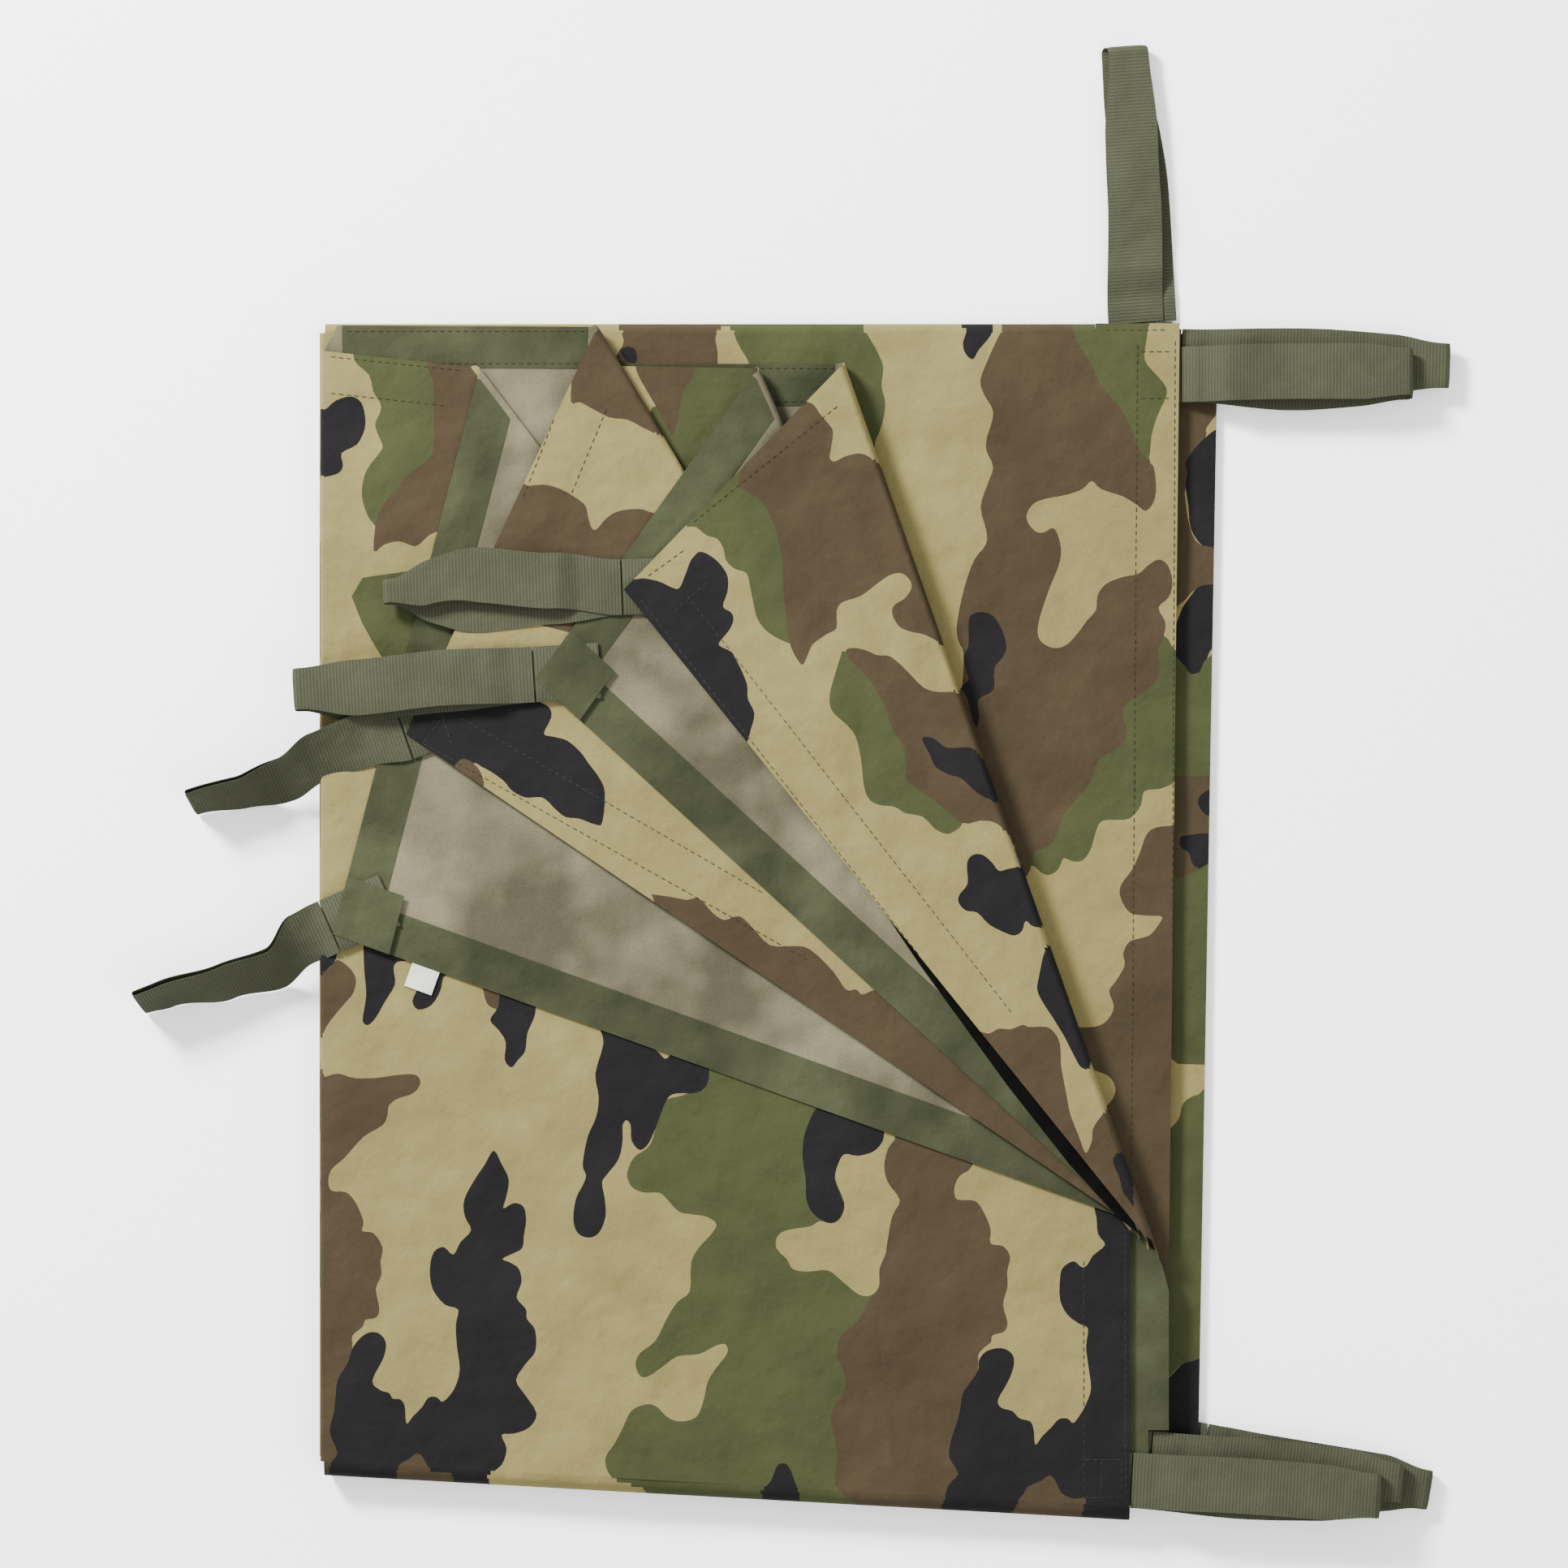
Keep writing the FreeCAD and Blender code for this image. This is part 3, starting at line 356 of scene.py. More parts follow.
# Which print each layer takes, and whether it is mirrored. What the pile hides repeats the print elsewhere.
PRINT_OF = {"e": (("e", False),), "i": (("i", False),), "c": (("c", False),), "a": (("a", False),),
            "g": (("k", True), ("g", False)), "k": (("k", False),), "f": (("i", True),), "h": (("e", True),),
            "j": (("k", True),), "m": (("e", True),), "d": (("a", True),), "b": (("i", True),)}
MIRROR_MIDDLE = -28.0

# The waves that all the layers share: height as a share of the height above the floor, radians per millimetre
# along x and y, and phase.
WAVES = [(0.030, 0.021, 0.013, 0.6), (0.022, -0.012, 0.034, 2.1), (0.016, 0.052, 0.041, 0.0)]
WAVE_DROP = 0.012
WAVE_REACH = 45.0  # the waves fade out this near a crease, and the ridges nearer still
RIDGE_REACH = 12.0
COVER_REACH = 16.0

# Soft ridges of the cloth: two ends, height and width.
RIDGES = {
    "e": [((-200, -150), (-90, -120), 1.2, 16), ((-205, -260), (-60, -215), 1.4, 20),
          ((-60, -300), (70, -230), 1.5, 18), ((20, -190), (120, -300), 1.2, 16),
          ((-150, -190), (-20, -180), 0.9, 12), ((60, -215), (140, -215), 1.0, 10),
          ((-190, 175), (-150, 120), 1.2, 12)],
    "a": [((10, 150), (60, 20), 1.6, 14), ((-40, 95), (40, 80), 1.1, 12), ((40, 60), (110, -90), 1.3, 12),
          ((-20, 60), (60, -20), 1.0, 10), ((96, -132), (150, -196), 2.2, 7), ((0, 20), (60, -60), 1.3, 9),
          ((20, 165), (-30, 130), 1.2, 9)],
    "c": [((-140, 60), (-100, 150), 1.0, 10), ((-150, 15), (-90, -10), 1.2, 9),
          ((-60, -40), (0, -75), 1.0, 8)],
    "i": [((60, 190), (110, 150), 2.6, 13), ((85, 120), (150, 60), 2.2, 15),
          ((110, 170), (165, 110), 2.0, 14), ((105, 40), (165, -10), 2.0, 14),
          ((60, 150), (90, 90), 1.4, 10), ((130, -60), (165, -110), 1.4, 10),
          ((100, 200), (160, 190), 1.2, 9)],
}

# What lies over part of a layer. The ridges stay out of it.
COVERED = {"e": [CREASE["d"][0], TIP["d"], CREASE["d"][1]],
           "c": [CREASE["b"][0], TIP["b"], CREASE["b"][1]],
           "i": [(LEFT, LOW_LEFT), TOP_LEFT["f"][1], TOP_LEFT["f"][0], CREASE["c"][0], CREASE["b"][0],
                 CREASE["a"][0], CREASE["a"][1], (RIGHT["h"], LOW_RIGHT)]}

# Each hand loop: its root in x and y, its heading in degrees, the distance to its tip, the height of its
# middle along it, and how far each leg strays sideways: (distance, upper leg, lower leg).
LOOPS = {
    "corner_a": (-75.5, 87.5, 182, 104, [(0, 20.9), (18, 21.4), (30, 22.4)],
                 [(0, 0, 0), (30, -4, 3), (70, -8, 6), (104, -2, -1)]),
    "corner_b": (-115, 48.3, 183.5, 105, [(0, 20.9), (8, 21.4), (22, 22.4)],
                 [(0, 0, 0), (40, -1, 2), (80, 1, 4), (105, 0, 1)]),
    "corner_c": (-173.5, 22, 199.3, 100, [(0, 17.4), (14, 18.3), (26, 19.2), (45, 19), (62, 12), (80, 4.6)],
                 [(0, 0, 0), (17, -3, -3.5), (40, -3, -2), (57, 1.5, 2.5), (74, 1, 1.5), (100, -2, -2)]),
    "corner_d": (-207, -65, 203.7, 91.6, [(0, 17.4), (6, 17.4), (18, 15.5), (34, 9.5), (56, 4.2)],
                 [(0, 0, 0), (14, 0.5, 0), (30.5, 7.5, 7), (53, 4, 4), (80, -2, -2), (92, -3, -3)]),
    "bottom_front": (154.2, -314.3, -3.5, 109, [(0, 13.9), (8, 14.6), (24, 16.15)],
                     [(0, 0, 0), (50, 1, -2), (109, 0, 0)]),
    "bottom_middle": (162.9, -305, -6, 111.1, [(0, 10.4), (14, 10.5), (28, 9.75)],
                      [(0, 0, 0), (60, 2, -1), (112, 1, 0)]),
    "bottom_back": (187.6, -302.4, -9.5, 100.4, [(0, 1.6), (10, 1.9), (24, 3.35)],
                    [(0, 0, 0), (50, 0, -3), (100.4, 0, -1)]),
    "top_front": (177, 183.9, 0, 101, [(0, 6.9), (8, 9.5), (22, 13)],
                  [(0, 0, 0), (50, 1, -4), (101, 1, -1)]),
    "top_back": (177, 192, -2, 118.2, [(0, 5.1), (10, 5.1), (26, 6.6)],
                 [(0, 0, 0), (60, 2, -1), (118, 0, 0)]),
    "top_up": (160.6, 207.5, 94, 122.2, [(0, 1.6), (10, 1.9), (26, 3.35)],
               [(0, 4, -2), (60, 1, -3), (122, -1, 2)]),
}
# The limp loops roll on their sides, in degrees along the loop, and most loops narrow towards the tip.
ROLL = {"corner_c": [(0, 0), (40, 28), (60, 40), (78, 58), (100, 66)],
        "corner_d": [(0, 0), (14, 25), (30, 45), (53, 52), (80, 64), (92, 68)]}
NARROW = {"corner_a": [(0, 1), (60, 1), (86, 0.8), (104, 0.42)], "corner_b": [(0, 1), (80, 1), (105, 0.74)],
          "top_up": [(0, 1), (85, 0.95), (122, 0.72)], "bottom_front": [(0, 1), (85, 1), (109, 0.8)],
          "top_front": [(0, 1), (80, 1), (101, 0.85)], "top_back": [(0, 1), (95, 1), (118, 0.8)],
          "bottom_middle": [(0, 1), (90, 1), (111, 0.7)], "bottom_back": [(0, 1), (80, 1), (100, 0.7)]}
# The layer each loop is sewn to, and the solid that its sewn end stands for.
SEWN = {"corner_a": ("a", "sewn_end_a"), "corner_b": ("b", "sewn_end_b"), "corner_c": ("c", "sewn_end_c"),
        "corner_d": ("d", "sewn_end_d"), "bottom_front": ("e", "sewn_ends_upper"),
        "bottom_middle": ("g", None), "bottom_back": ("k", "sewn_ends_lower"), "top_front": ("i", None),
        "top_back": ("j", None), "top_up": ("m", None)}


def inward(crease):
    """The direction from a crease towards the layers, at right angles to it."""
    (x0, y0), (x1, y1) = crease
    length = math.hypot(x1 - x0, y1 - y0)
    return np.array([(y1 - y0) / length, -(x1 - x0) / length])


def slid(point, towards, crease, depth=CREASE_INSET):
    """The point moved along a hem until it is that deep behind the crease."""
    p = np.array(point, float)
    along = np.array(towards, float) - p
    along /= np.linalg.norm(along)
    return tuple(p + along * depth / max(along @ inward(crease), 0.2))


def panel_outline(layer):
    if layer in FLAP_OF:
        crease = CREASE[FLAP_OF[layer]]
        right = (RIGHT[layer], LOW_RIGHT + UPPER_INSET)
        top = TOP_LEFT[layer]
        return [(LEFT, LOW_LEFT + UPPER_INSET), right, slid(crease[1], right, crease),
                slid(crease[0], top[0], crease)] + top
    near, far = RIGHT_LOWER[layer]
    outline = [(LEFT, LOW_LEFT + LOWER_INSET), (RIGHT["e"], LOW_RIGHT + LOWER_INSET),
               (near, LOW_CORNER + LOWER_INSET)]
    if layer == "i":
        outline += [(far, CREST), (TOP_FOLD_END, CREST), (TOP_FOLD_END, CREST - TOP_TURN)]
    else:
        outline += [(far, CREST - TOP_TURN)]
    return outline + [(LEFT, CREST - TOP_TURN)]


def flap_outline(flap):
    top, root = CREASE[flap]
    return [slid(top, TIP[flap], CREASE[flap]), TIP[flap], slid(root, TIP[flap], CREASE[flap])]


def outline_of(layer):
    return flap_outline(layer) if layer in TIP else panel_outline(layer)


def rounded(points, steps=3):
    """A smooth closed line through the points."""
    p = np.array(points, float)
    before, after, second = np.roll(p, 1, 0), np.roll(p, -1, 0), np.roll(p, -2, 0)
    line = []
    for t in np.arange(steps) / steps:
        line.append(0.5 * (2 * p + (after - before) * t + (2 * before - 5 * p + 4 * after - second) * t * t
                           + (3 * p - before - 3 * after + second) * t ** 3))
    return np.stack(line, 1).reshape(-1, 2)


def lobed(line):
    """A patch's outline drawn in by lobes like those of the rest of the print."""
    x, y = line.T
    away = line - line.mean(0)
    depth = 7.0 * (1 + np.sin(0.12 * x + 0.06 * y + 1.0)) + 4.5 * (1 + np.sin(0.25 * y - 0.14 * x))
    return line - away / np.linalg.norm(away, axis=1, keepdims=True) * depth[:, None]


def inside(x, y, polygon):
    """Which of the points are inside the polygon."""
    result = np.zeros(len(x), bool)
    p = np.array(polygon, float)
    for (x0, y0), (x1, y1) in zip(p, np.roll(p, -1, 0)):
        if y0 != y1:
            crosses = (y0 > y) != (y1 > y)
            result ^= crosses & (x < (x1 - x0) * (y - y0) / (y1 - y0) + x0)
    return result


def segment_distance(x, y, start, end):
    """How far the points are from a segment, and where along it the nearest place is, from 0 to 1."""
    ax, ay = start
    dx, dy = end[0] - ax, end[1] - ay
    t = np.clip(((x - ax) * dx + (y - ay) * dy) / (dx * dx + dy * dy), 0, 1)
    return np.hypot(x - ax - t * dx, y - ay - t * dy), t


def eased(t):
    t = np.clip(t, 0, 1)
    return t * t * (3 - 2 * t)


def outline_distance(x, y, polygon):
    ends = list(polygon[1:]) + [polygon[0]]
    return np.min([segment_distance(x, y, a, b)[0] for a, b in zip(polygon, ends)], axis=0)


def clear_of_creases(x, y, reach):
    """0 on the creases and 1 further from them than the reach."""
    nearest = np.min([segment_distance(x, y, *crease)[0] for crease in CREASE.values()], axis=0)
    return eased(nearest / reach)


def wave(x, y):
    """The gentle waves that every layer shares, as a share of the height above the floor."""
    height = sum(size * np.sin(along * x + up * y + phase) for size, along, up, phase in WAVES)
    return (height - WAVE_DROP) * clear_of_creases(x, y, WAVE_REACH)


def rise(layer, x, y):
    """How far a layer's own ridges lift it."""
    lift = np.zeros_like(x)
    if layer not in RIDGES:
        return lift
    for start, end, height, width in RIDGES[layer]:
        away, t = segment_distance(x, y, start, end)
        ends = 0.35 + 0.65 * np.sin(math.pi * np.clip(t, 0.08, 0.92))
        lift += height * np.exp(-(away / width) ** 2) * ends
    if layer in COVERED:
        cover = COVERED[layer]
        free = eased(outline_distance(x, y, cover) / COVER_REACH)
        lift *= np.where(inside(x, y, cover), 0.0, free)
    return lift * clear_of_creases(x, y, RIDGE_REACH)


def settled(layer, x, y, z):
    """The height of a point of a layer once the waves and ridges are in."""
    x, y = np.asarray(x, float), np.asarray(y, float)
    return z * (1 + wave(x, y)) + rise(layer, x, y)


# ---- Materials


def linear(colour):
    """The linear RGBA of an sRGB colour from 0 to 255."""
    channels = []
    for c in colour:
        c /= 255
        channels.append(c / 12.92 if c <= 0.04045 else ((c + 0.055) / 1.055) ** 2.4)
    return (*channels, 1.0)


def add(tree, kind, **values):
    """A shader node. A value is an input's default, a socket to link to it, or a property of the node."""
    node = tree.nodes.new(kind)
    for name, value in values.items():
        if name not in node.inputs:
            setattr(node, name, value)
        elif isinstance(value, bpy.types.NodeSocket):
            tree.links.new(value, node.inputs[name])
        else:
            node.inputs[name].default_value = value
    return node


def noise(tree, place, **values):
    return add(tree, "ShaderNodeTexNoise", Vector=place, **values).outputs["Fac"]


def remapped(tree, value, start, end, low=0.0, high=1.0):
    """The value from start to end stretched over low to high."""
    limits = {"From Min": start, "From Max": end, "To Min": low, "To Max": high}
    return add(tree, "ShaderNodeMapRange", Value=value, **limits).outputs["Result"]


def calculated(tree, operation, *values):
    """The result of a maths node for sockets and numbers."""
    node = add(tree, "ShaderNodeMath", operation=operation)
    for socket, value in zip(node.inputs, values):
        if isinstance(value, bpy.types.NodeSocket):
            tree.links.new(value, socket)
        else:
            socket.default_value = value
    return node.outputs[0]


def scaled(tree, colour, factor):
    node = add(tree, "ShaderNodeVectorMath", operation="SCALE", Scale=factor)
    tree.links.new(colour, node.inputs[0])
    return node.outputs[0]


def fabric(name, colour, roughness, weave, crumple, mottle=0.14, tone_and_glare=0.06, specular=0.04, ribbed=False):
    """A woven material: uneven colour, a fine weave and soft crumples, both per metre. Broad patches vary the
    tone, and on the coated reverse they stand for painted glare. Webbing gets painted shade along its ribs.
    """
    material = bpy.data.materials.new(name)
    material.use_nodes = True
    tree = material.node_tree
    place = add(tree, "ShaderNodeTexCoord").outputs["Object"]
    broad = noise(tree, place, Scale=55.0, Detail=4.0)
    fine = noise(tree, place, Scale=weave, Detail=3.0, Roughness=0.7)
    uneven = remapped(tree, calculated(tree, "MULTIPLY_ADD", fine, 1.6, broad), 0.85, 1.75)
    mix = add(tree, "ShaderNodeMix", data_type="RGBA")
    tree.links.new(uneven, mix.inputs[0])
    base = linear(colour)
    for number, share in ((6, 1 - mottle), (7, 1 + mottle)):
        mix.inputs[number].default_value = tuple(min(c * share, 1) for c in base[:3]) + (1.0,)
    # Broad patches lighten and darken the colour. They are random tone, and where they are strong, on the
    # coated reverse, they are painted glare.
    tone_and_glare_noise = noise(tree, place, Scale=24.0, Detail=2.0)
    cloth = scaled(tree, mix.outputs[2], remapped(tree, tone_and_glare_noise, 0.38, 0.68, 1 - tone_and_glare, 1 + tone_and_glare))
    # The colour is painted lighter on the rib crests and darker between them: painted shade of the webbing's
    # ribs.
    if ribbed:
        ribs = add(tree, "ShaderNodeAttribute", attribute_name="rib_place").outputs["Fac"]
        crest = calculated(tree, "COSINE", calculated(tree, "MULTIPLY", ribs, 2 * math.pi))
        cloth = scaled(tree, cloth, calculated(tree, "MULTIPLY_ADD", crest, 0.16, 0.9))
    folds = noise(tree, place, Scale=crumple, Detail=3.0, Roughness=0.45)
    soft = add(tree, "ShaderNodeBump", Height=folds, Strength=0.55, Distance=0.006)
    threads = add(tree, "ShaderNodeBump", Height=fine, Normal=soft.outputs["Normal"], Strength=0.35,
                  Distance=0.0004)
    shader = tree.nodes["Principled BSDF"]
    tree.links.new(cloth, shader.inputs["Base Color"])
    tree.links.new(threads.outputs["Normal"], shader.inputs["Normal"])
    shader.inputs["Roughness"].default_value = roughness
    shader.inputs["Specular IOR Level"].default_value = specular
    return material


COLOURS = {"tan": (101, 93, 58), "green": (48, 52, 31), "brown": (50, 42, 30), "black": (21, 20, 21)}
CAMOUFLAGE = [fabric("camouflage_" + name, colour, 0.82, 1500.0, 42.0) for name, colour in COLOURS.items()]
# The coated reverse's strong broad patches are painted glare off the coating: a painted highlight that
# lightens and darkens it in patches.
REVERSE = fabric("coated_reverse", (79, 76, 60), 0.8, 900.0, 30.0, mottle=0.16, tone_and_glare=0.42,
                 specular=0.03)
SEAM_TAPE = fabric("seam_tape", (46, 49, 34), 0.85, 1300.0, 45.0, tone_and_glare=0.28, specular=0.02)
WEB = fabric("webbing", (54, 56, 43), 0.85, 1100.0, 30.0, mottle=0.15, ribbed=True)
LABEL = fabric("label_tape", (170, 171, 160), 0.7, 1600.0, 60.0, mottle=0.04)
THREAD = fabric("thread", (40, 38, 29), 0.7, 2200.0, 60.0)
# This near-black material paints the deep shadow of the gap under flap a's hem.
DEEP_SHADE = fabric("painted_gap_shade", (9, 9, 8), 0.95, 1200.0, 60.0, specular=0.0)
COLOUR_NUMBER = {name: number for number, name in enumerate(COLOURS)}
CLOTH_MATERIALS = CAMOUFLAGE + [REVERSE]
REVERSE_NUMBER = len(CAMOUFLAGE)


# ---- Meshes


def make(name, points, faces, materials, numbers=None):
    """An object from points in millimetres."""
    mesh = bpy.data.meshes.new(name)
    mesh.from_pydata((np.asarray(points, float) * MM).tolist(), [], faces)
    for material in materials:
        mesh.materials.append(material)
    if numbers is not None:
        mesh.polygons.foreach_set("material_index", np.asarray(numbers, np.int32))
    mesh.polygons.foreach_set("use_smooth", np.ones(len(faces), bool))
    mesh.set_sharp_from_angle(angle=math.radians(42))
    mesh.update()
    piece = bpy.data.objects.new(name, mesh)
    bpy.context.scene.collection.objects.link(piece)
    return piece


def patches_of(layer):
    """The print of a layer as (colour number, smooth outline)."""
    patches = []
    for source, mirrored in PRINT_OF[layer]:
        shown = len(PRINTS[source]) - HIDDEN_PATCHES.get(source, 0)
        for number, (colour, *points) in enumerate(PRINTS[source]):
            line = rounded(points) if number < shown else lobed(rounded(points, LOBE_STEPS))
            if mirrored:
                line = line * [-1, 1] + [2 * MIRROR_MIDDLE, 0]
            patches.append((COLOUR_NUMBER[colour], line))
    return patches


def painted(x, y, patches):
    """The colour number of the print at each point."""
    numbers = np.zeros(len(x), int)
    for colour, line in patches:
        low, high = line.min(0), line.max(0)
        near = np.nonzero((x > low[0]) & (x < high[0]) & (y > low[1]) & (y < high[1]))[0]
        numbers[near[inside(x[near], y[near], line)]] = colour
    return numbers


def cut(outline, lines, pitch, seed):
    """Triangles that fill the outline and follow the given closed lines."""
    dice = random.Random(seed)
    points, edges = [], []

    def add_closed(line):
        first = len(points)
        points.extend((float(x), float(y)) for x, y in line)
        count = len(line)
        edges.extend((first + k, first + (k + 1) % count) for k in range(count))

    border = []
    for a, b in zip(outline, list(outline[1:]) + [outline[0]]):
        a, b = np.array(a, float), np.array(b, float)
        pieces = max(1, int(np.linalg.norm(b - a) / (0.7 * pitch)))
        border.extend(a + (b - a) * k / pieces for k in range(pieces))
    add_closed(border)
    box_low, box_high = np.min(outline, 0), np.max(outline, 0)
    for line in lines:
        if (line.max(0) > box_low).all() and (line.min(0) < box_high).all():
            add_closed(line)
    taken = np.array(points)
    across = np.arange(box_low[0] + pitch / 2, box_high[0], pitch)
    up = np.arange(box_low[1] + pitch / 2, box_high[1], pitch)
    grid = np.array([(x + dice.uniform(-1, 1) * pitch / 5, y + dice.uniform(-1, 1) * pitch / 5)
                     for x in across for y in up])
    grid = grid[inside(grid[:, 0], grid[:, 1], outline)]
    gaps = np.array([np.min(np.hypot(taken[:, 0] - x, taken[:, 1] - y)) for x, y in grid])
    points.extend(map(tuple, grid[gaps > 0.4 * pitch]))
    done = delaunay_2d_cdt([Vector(p) for p in points], edges, [], 0, 0.001)
    spots = np.array([tuple(v) for v in done[0]])
    triangles = np.array(done[2])
    middle = spots[triangles].mean(1)
    triangles = triangles[inside(middle[:, 0], middle[:, 1], outline)]
    used, index = np.unique(triangles, return_inverse=True)
    return spots[used], index.reshape(-1, 3)


def slab(name, outline, bottom, top, layer, pitch, materials, faces_of=None, lines=()):
    """A closed thin sheet over the outline. faces_of gives the triangles' upper and lower materials."""
    spots, triangles = cut(outline, lines, pitch, len(name) + 17)
    x, y = spots.T
    count = len(spots)
    a, b, c = spots[triangles[:, 0]], spots[triangles[:, 1]], spots[triangles[:, 2]]
    turned = (b[:, 0] - a[:, 0]) * (c[:, 1] - a[:, 1]) - (b[:, 1] - a[:, 1]) * (c[:, 0] - a[:, 0]) < 0
    triangles[turned] = triangles[turned][:, ::-1]
    points = np.concatenate([np.column_stack([x, y, settled(layer, x, y, top)]),
                             np.column_stack([x, y, settled(layer, x, y, bottom)])])
    faces = triangles.tolist() + (triangles[:, ::-1] + count).tolist()
    middle = spots[triangles].mean(1)
    if faces_of is None:
        upper = lower = np.zeros(len(triangles), int)
    else:
        upper, lower = faces_of(middle[:, 0], middle[:, 1])
    owner = {}
    for number, (i, j, k) in enumerate(triangles.tolist()):
        for edge in ((i, j), (j, k), (k, i)):
            owner[edge] = number
    rim, rim_numbers = [], []
    for (i, j), number in owner.items():
        if (j, i) not in owner:
            rim.append((i + count, j + count, j, i))
            rim_numbers.append(upper[number])
    numbers = list(upper) + list(lower) + rim_numbers
    return make(name, points, faces + rim, materials, numbers)


def fold(name, low_edge, high_edge, bulge, z_low, z_high, print_outside, layer, pitch=2.0):
    """The turn of the cloth that joins the edges of two layers, as a closed sheet."""
    low_edge, high_edge, bulge = (np.array(v, float) for v in (low_edge, high_edge, bulge))
    length = np.linalg.norm(low_edge[1] - low_edge[0])
    along = np.linspace(0, 1, max(2, int(length / pitch)) + 1)
    angles = np.linspace(0, math.pi, 13)
    radius = (z_high - z_low) / 2
    middle = (z_high + z_low) / 2
    reach = np.linalg.norm(bulge)
    rows = []
    for side in (0.5, -0.5):
        for angle in angles:
            share = (1 - math.cos(angle)) / 2
            start, end = (1 - share) * low_edge + share * high_edge
            offset = bulge * (1 + side * CLOTH / reach) * math.sin(angle)
            line = start + (end - start) * along[:, None] + offset
            z = middle - (radius + side * CLOTH) * math.cos(angle)
            rows.append(np.column_stack([line, settled("", line[:, 0], line[:, 1], z)]))
    points = np.concatenate(rows)
    wide, tall = len(along), len(angles)
    faces, outside = [], []

    def at(side, row, column):
        return (side * tall + row) * wide + column

    for row in range(tall - 1):
        for column in range(wide - 1):
            faces.append((at(0, row, column), at(0, row, column + 1), at(0, row + 1, column + 1),
                          at(0, row + 1, column)))
            faces.append((at(1, row, column), at(1, row + 1, column), at(1, row + 1, column + 1),
                          at(1, row, column + 1)))
            outside += [True, False]
    last = tall - 1
    for column in range(wide - 1):
        faces.append((at(1, 0, column), at(1, 0, column + 1), at(0, 0, column + 1), at(0, 0, column)))
        faces.append((at(0, last, column), at(0, last, column + 1), at(1, last, column + 1),
                      at(1, last, column)))
        outside += [True, True]
    last = wide - 1
    for row in range(tall - 1):
        faces.append((at(0, row, 0), at(0, row + 1, 0), at(1, row + 1, 0), at(1, row, 0)))
        faces.append((at(1, row, last), at(1, row + 1, last), at(0, row + 1, last), at(0, row, last)))
        outside += [True, True]
    turn = np.cross(np.append(low_edge[1] - low_edge[0], 0), np.append(bulge, 0))[2]
    if turn > 0:
        faces = [face[::-1] for face in faces]
    centre = np.array([points[list(face), :2].mean(0) for face in faces])
    print_numbers = painted(centre[:, 0], centre[:, 1], patches_of(layer))
    printed = np.array(outside) == print_outside
    return make(name, points, faces, CLOTH_MATERIALS, np.where(printed, print_numbers, REVERSE_NUMBER))


# ---- The layers of cloth


def cloth_layer(layer, pitch):
    """A panel or flap with its print cut into one face."""
    patches = patches_of(layer)
    outline = outline_of(layer)

    def faces_of(x, y):
        print_numbers = painted(x, y, patches)
        plain = np.full(len(x), REVERSE_NUMBER)
        return (print_numbers, plain) if layer in PRINT_UP else (plain, print_numbers)

    kind = "flap_" if layer in TIP else "panel_"
    piece = slab("cloth_" + kind + layer, outline, LEVEL[layer], LEVEL[layer] + CLOTH, layer, pitch,
                 CLOTH_MATERIALS, faces_of, [line for _, line in patches])
    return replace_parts(piece, kind + layer)


def body_for(layer):
    if layer in TIP:
        return "corner_" + layer
    return "upper_half" if layer in "efgh" else "lower_half"


def clipped(polygon, border):
    """The part of a polygon inside a convex outline."""
    middle = np.mean(border, axis=0)
    for a, b in zip(border, list(border[1:]) + [border[0]]):
        a, b = np.array(a, float), np.array(b, float)
        normal = np.array([a[1] - b[1], b[0] - a[0]])
        if normal @ (middle - a) < 0:
            normal = -normal
        kept = []
        for p, q in zip(polygon, list(polygon[1:]) + [polygon[0]]):
            p, q = np.array(p, float), np.array(q, float)
            dp, dq = normal @ (p - a), normal @ (q - a)
            if dp >= 0:
                kept.append(tuple(p))
            if (dp > 0) != (dq > 0) and dp != dq:
                kept.append(tuple(p + (q - p) * dp / (dp - dq)))
        polygon = [p for k, p in enumerate(kept) if math.dist(p, kept[k - 1]) > 0.01]
    return polygon


def tape(name, start, end, side, layer, *nodes):
    """A hem tape along start to end on a layer's reverse face, as wide as the tape towards the side point."""
    start, end, side = (np.array(v, float) for v in (start, end, side))
    along = (end - start) / np.linalg.norm(end - start)
    across = np.array([-along[1], along[0]])
    if across @ (side - start) < 0:
        across = -across
    outline = [tuple(p) for p in (start, end, end + across * TAPE_WIDTH - along * 0.3,
                                  start + across * TAPE_WIDTH + along * 0.3)]
    if layer != "i":
        outline = clipped(outline, outline_of(layer))
    if layer in PRINT_UP:
        bottom, top = LEVEL[layer] - TAPE, LEVEL[layer]
    else:
        bottom, top = LEVEL[layer] + CLOTH, LEVEL[layer] + CLOTH + TAPE
    pitch = 3.5 if layer in RIDGES else 6.0
    piece = slab(name, outline, bottom, top, layer, pitch, [SEAM_TAPE])
    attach(piece, body_for(layer))
    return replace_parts(piece, *nodes)


# Every layer's cloth, and the pieces sewn to it.
layers = {}
strips = {layer: [] for layer in LEVEL}
for layer in LEVEL:
    pitch = 13.0
    if layer in RIDGES:
        pitch = 4.5 if layer in TIP else 7.0
    layers[layer] = cloth_layer(layer, pitch)
    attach(layers[layer], body_for(layer))

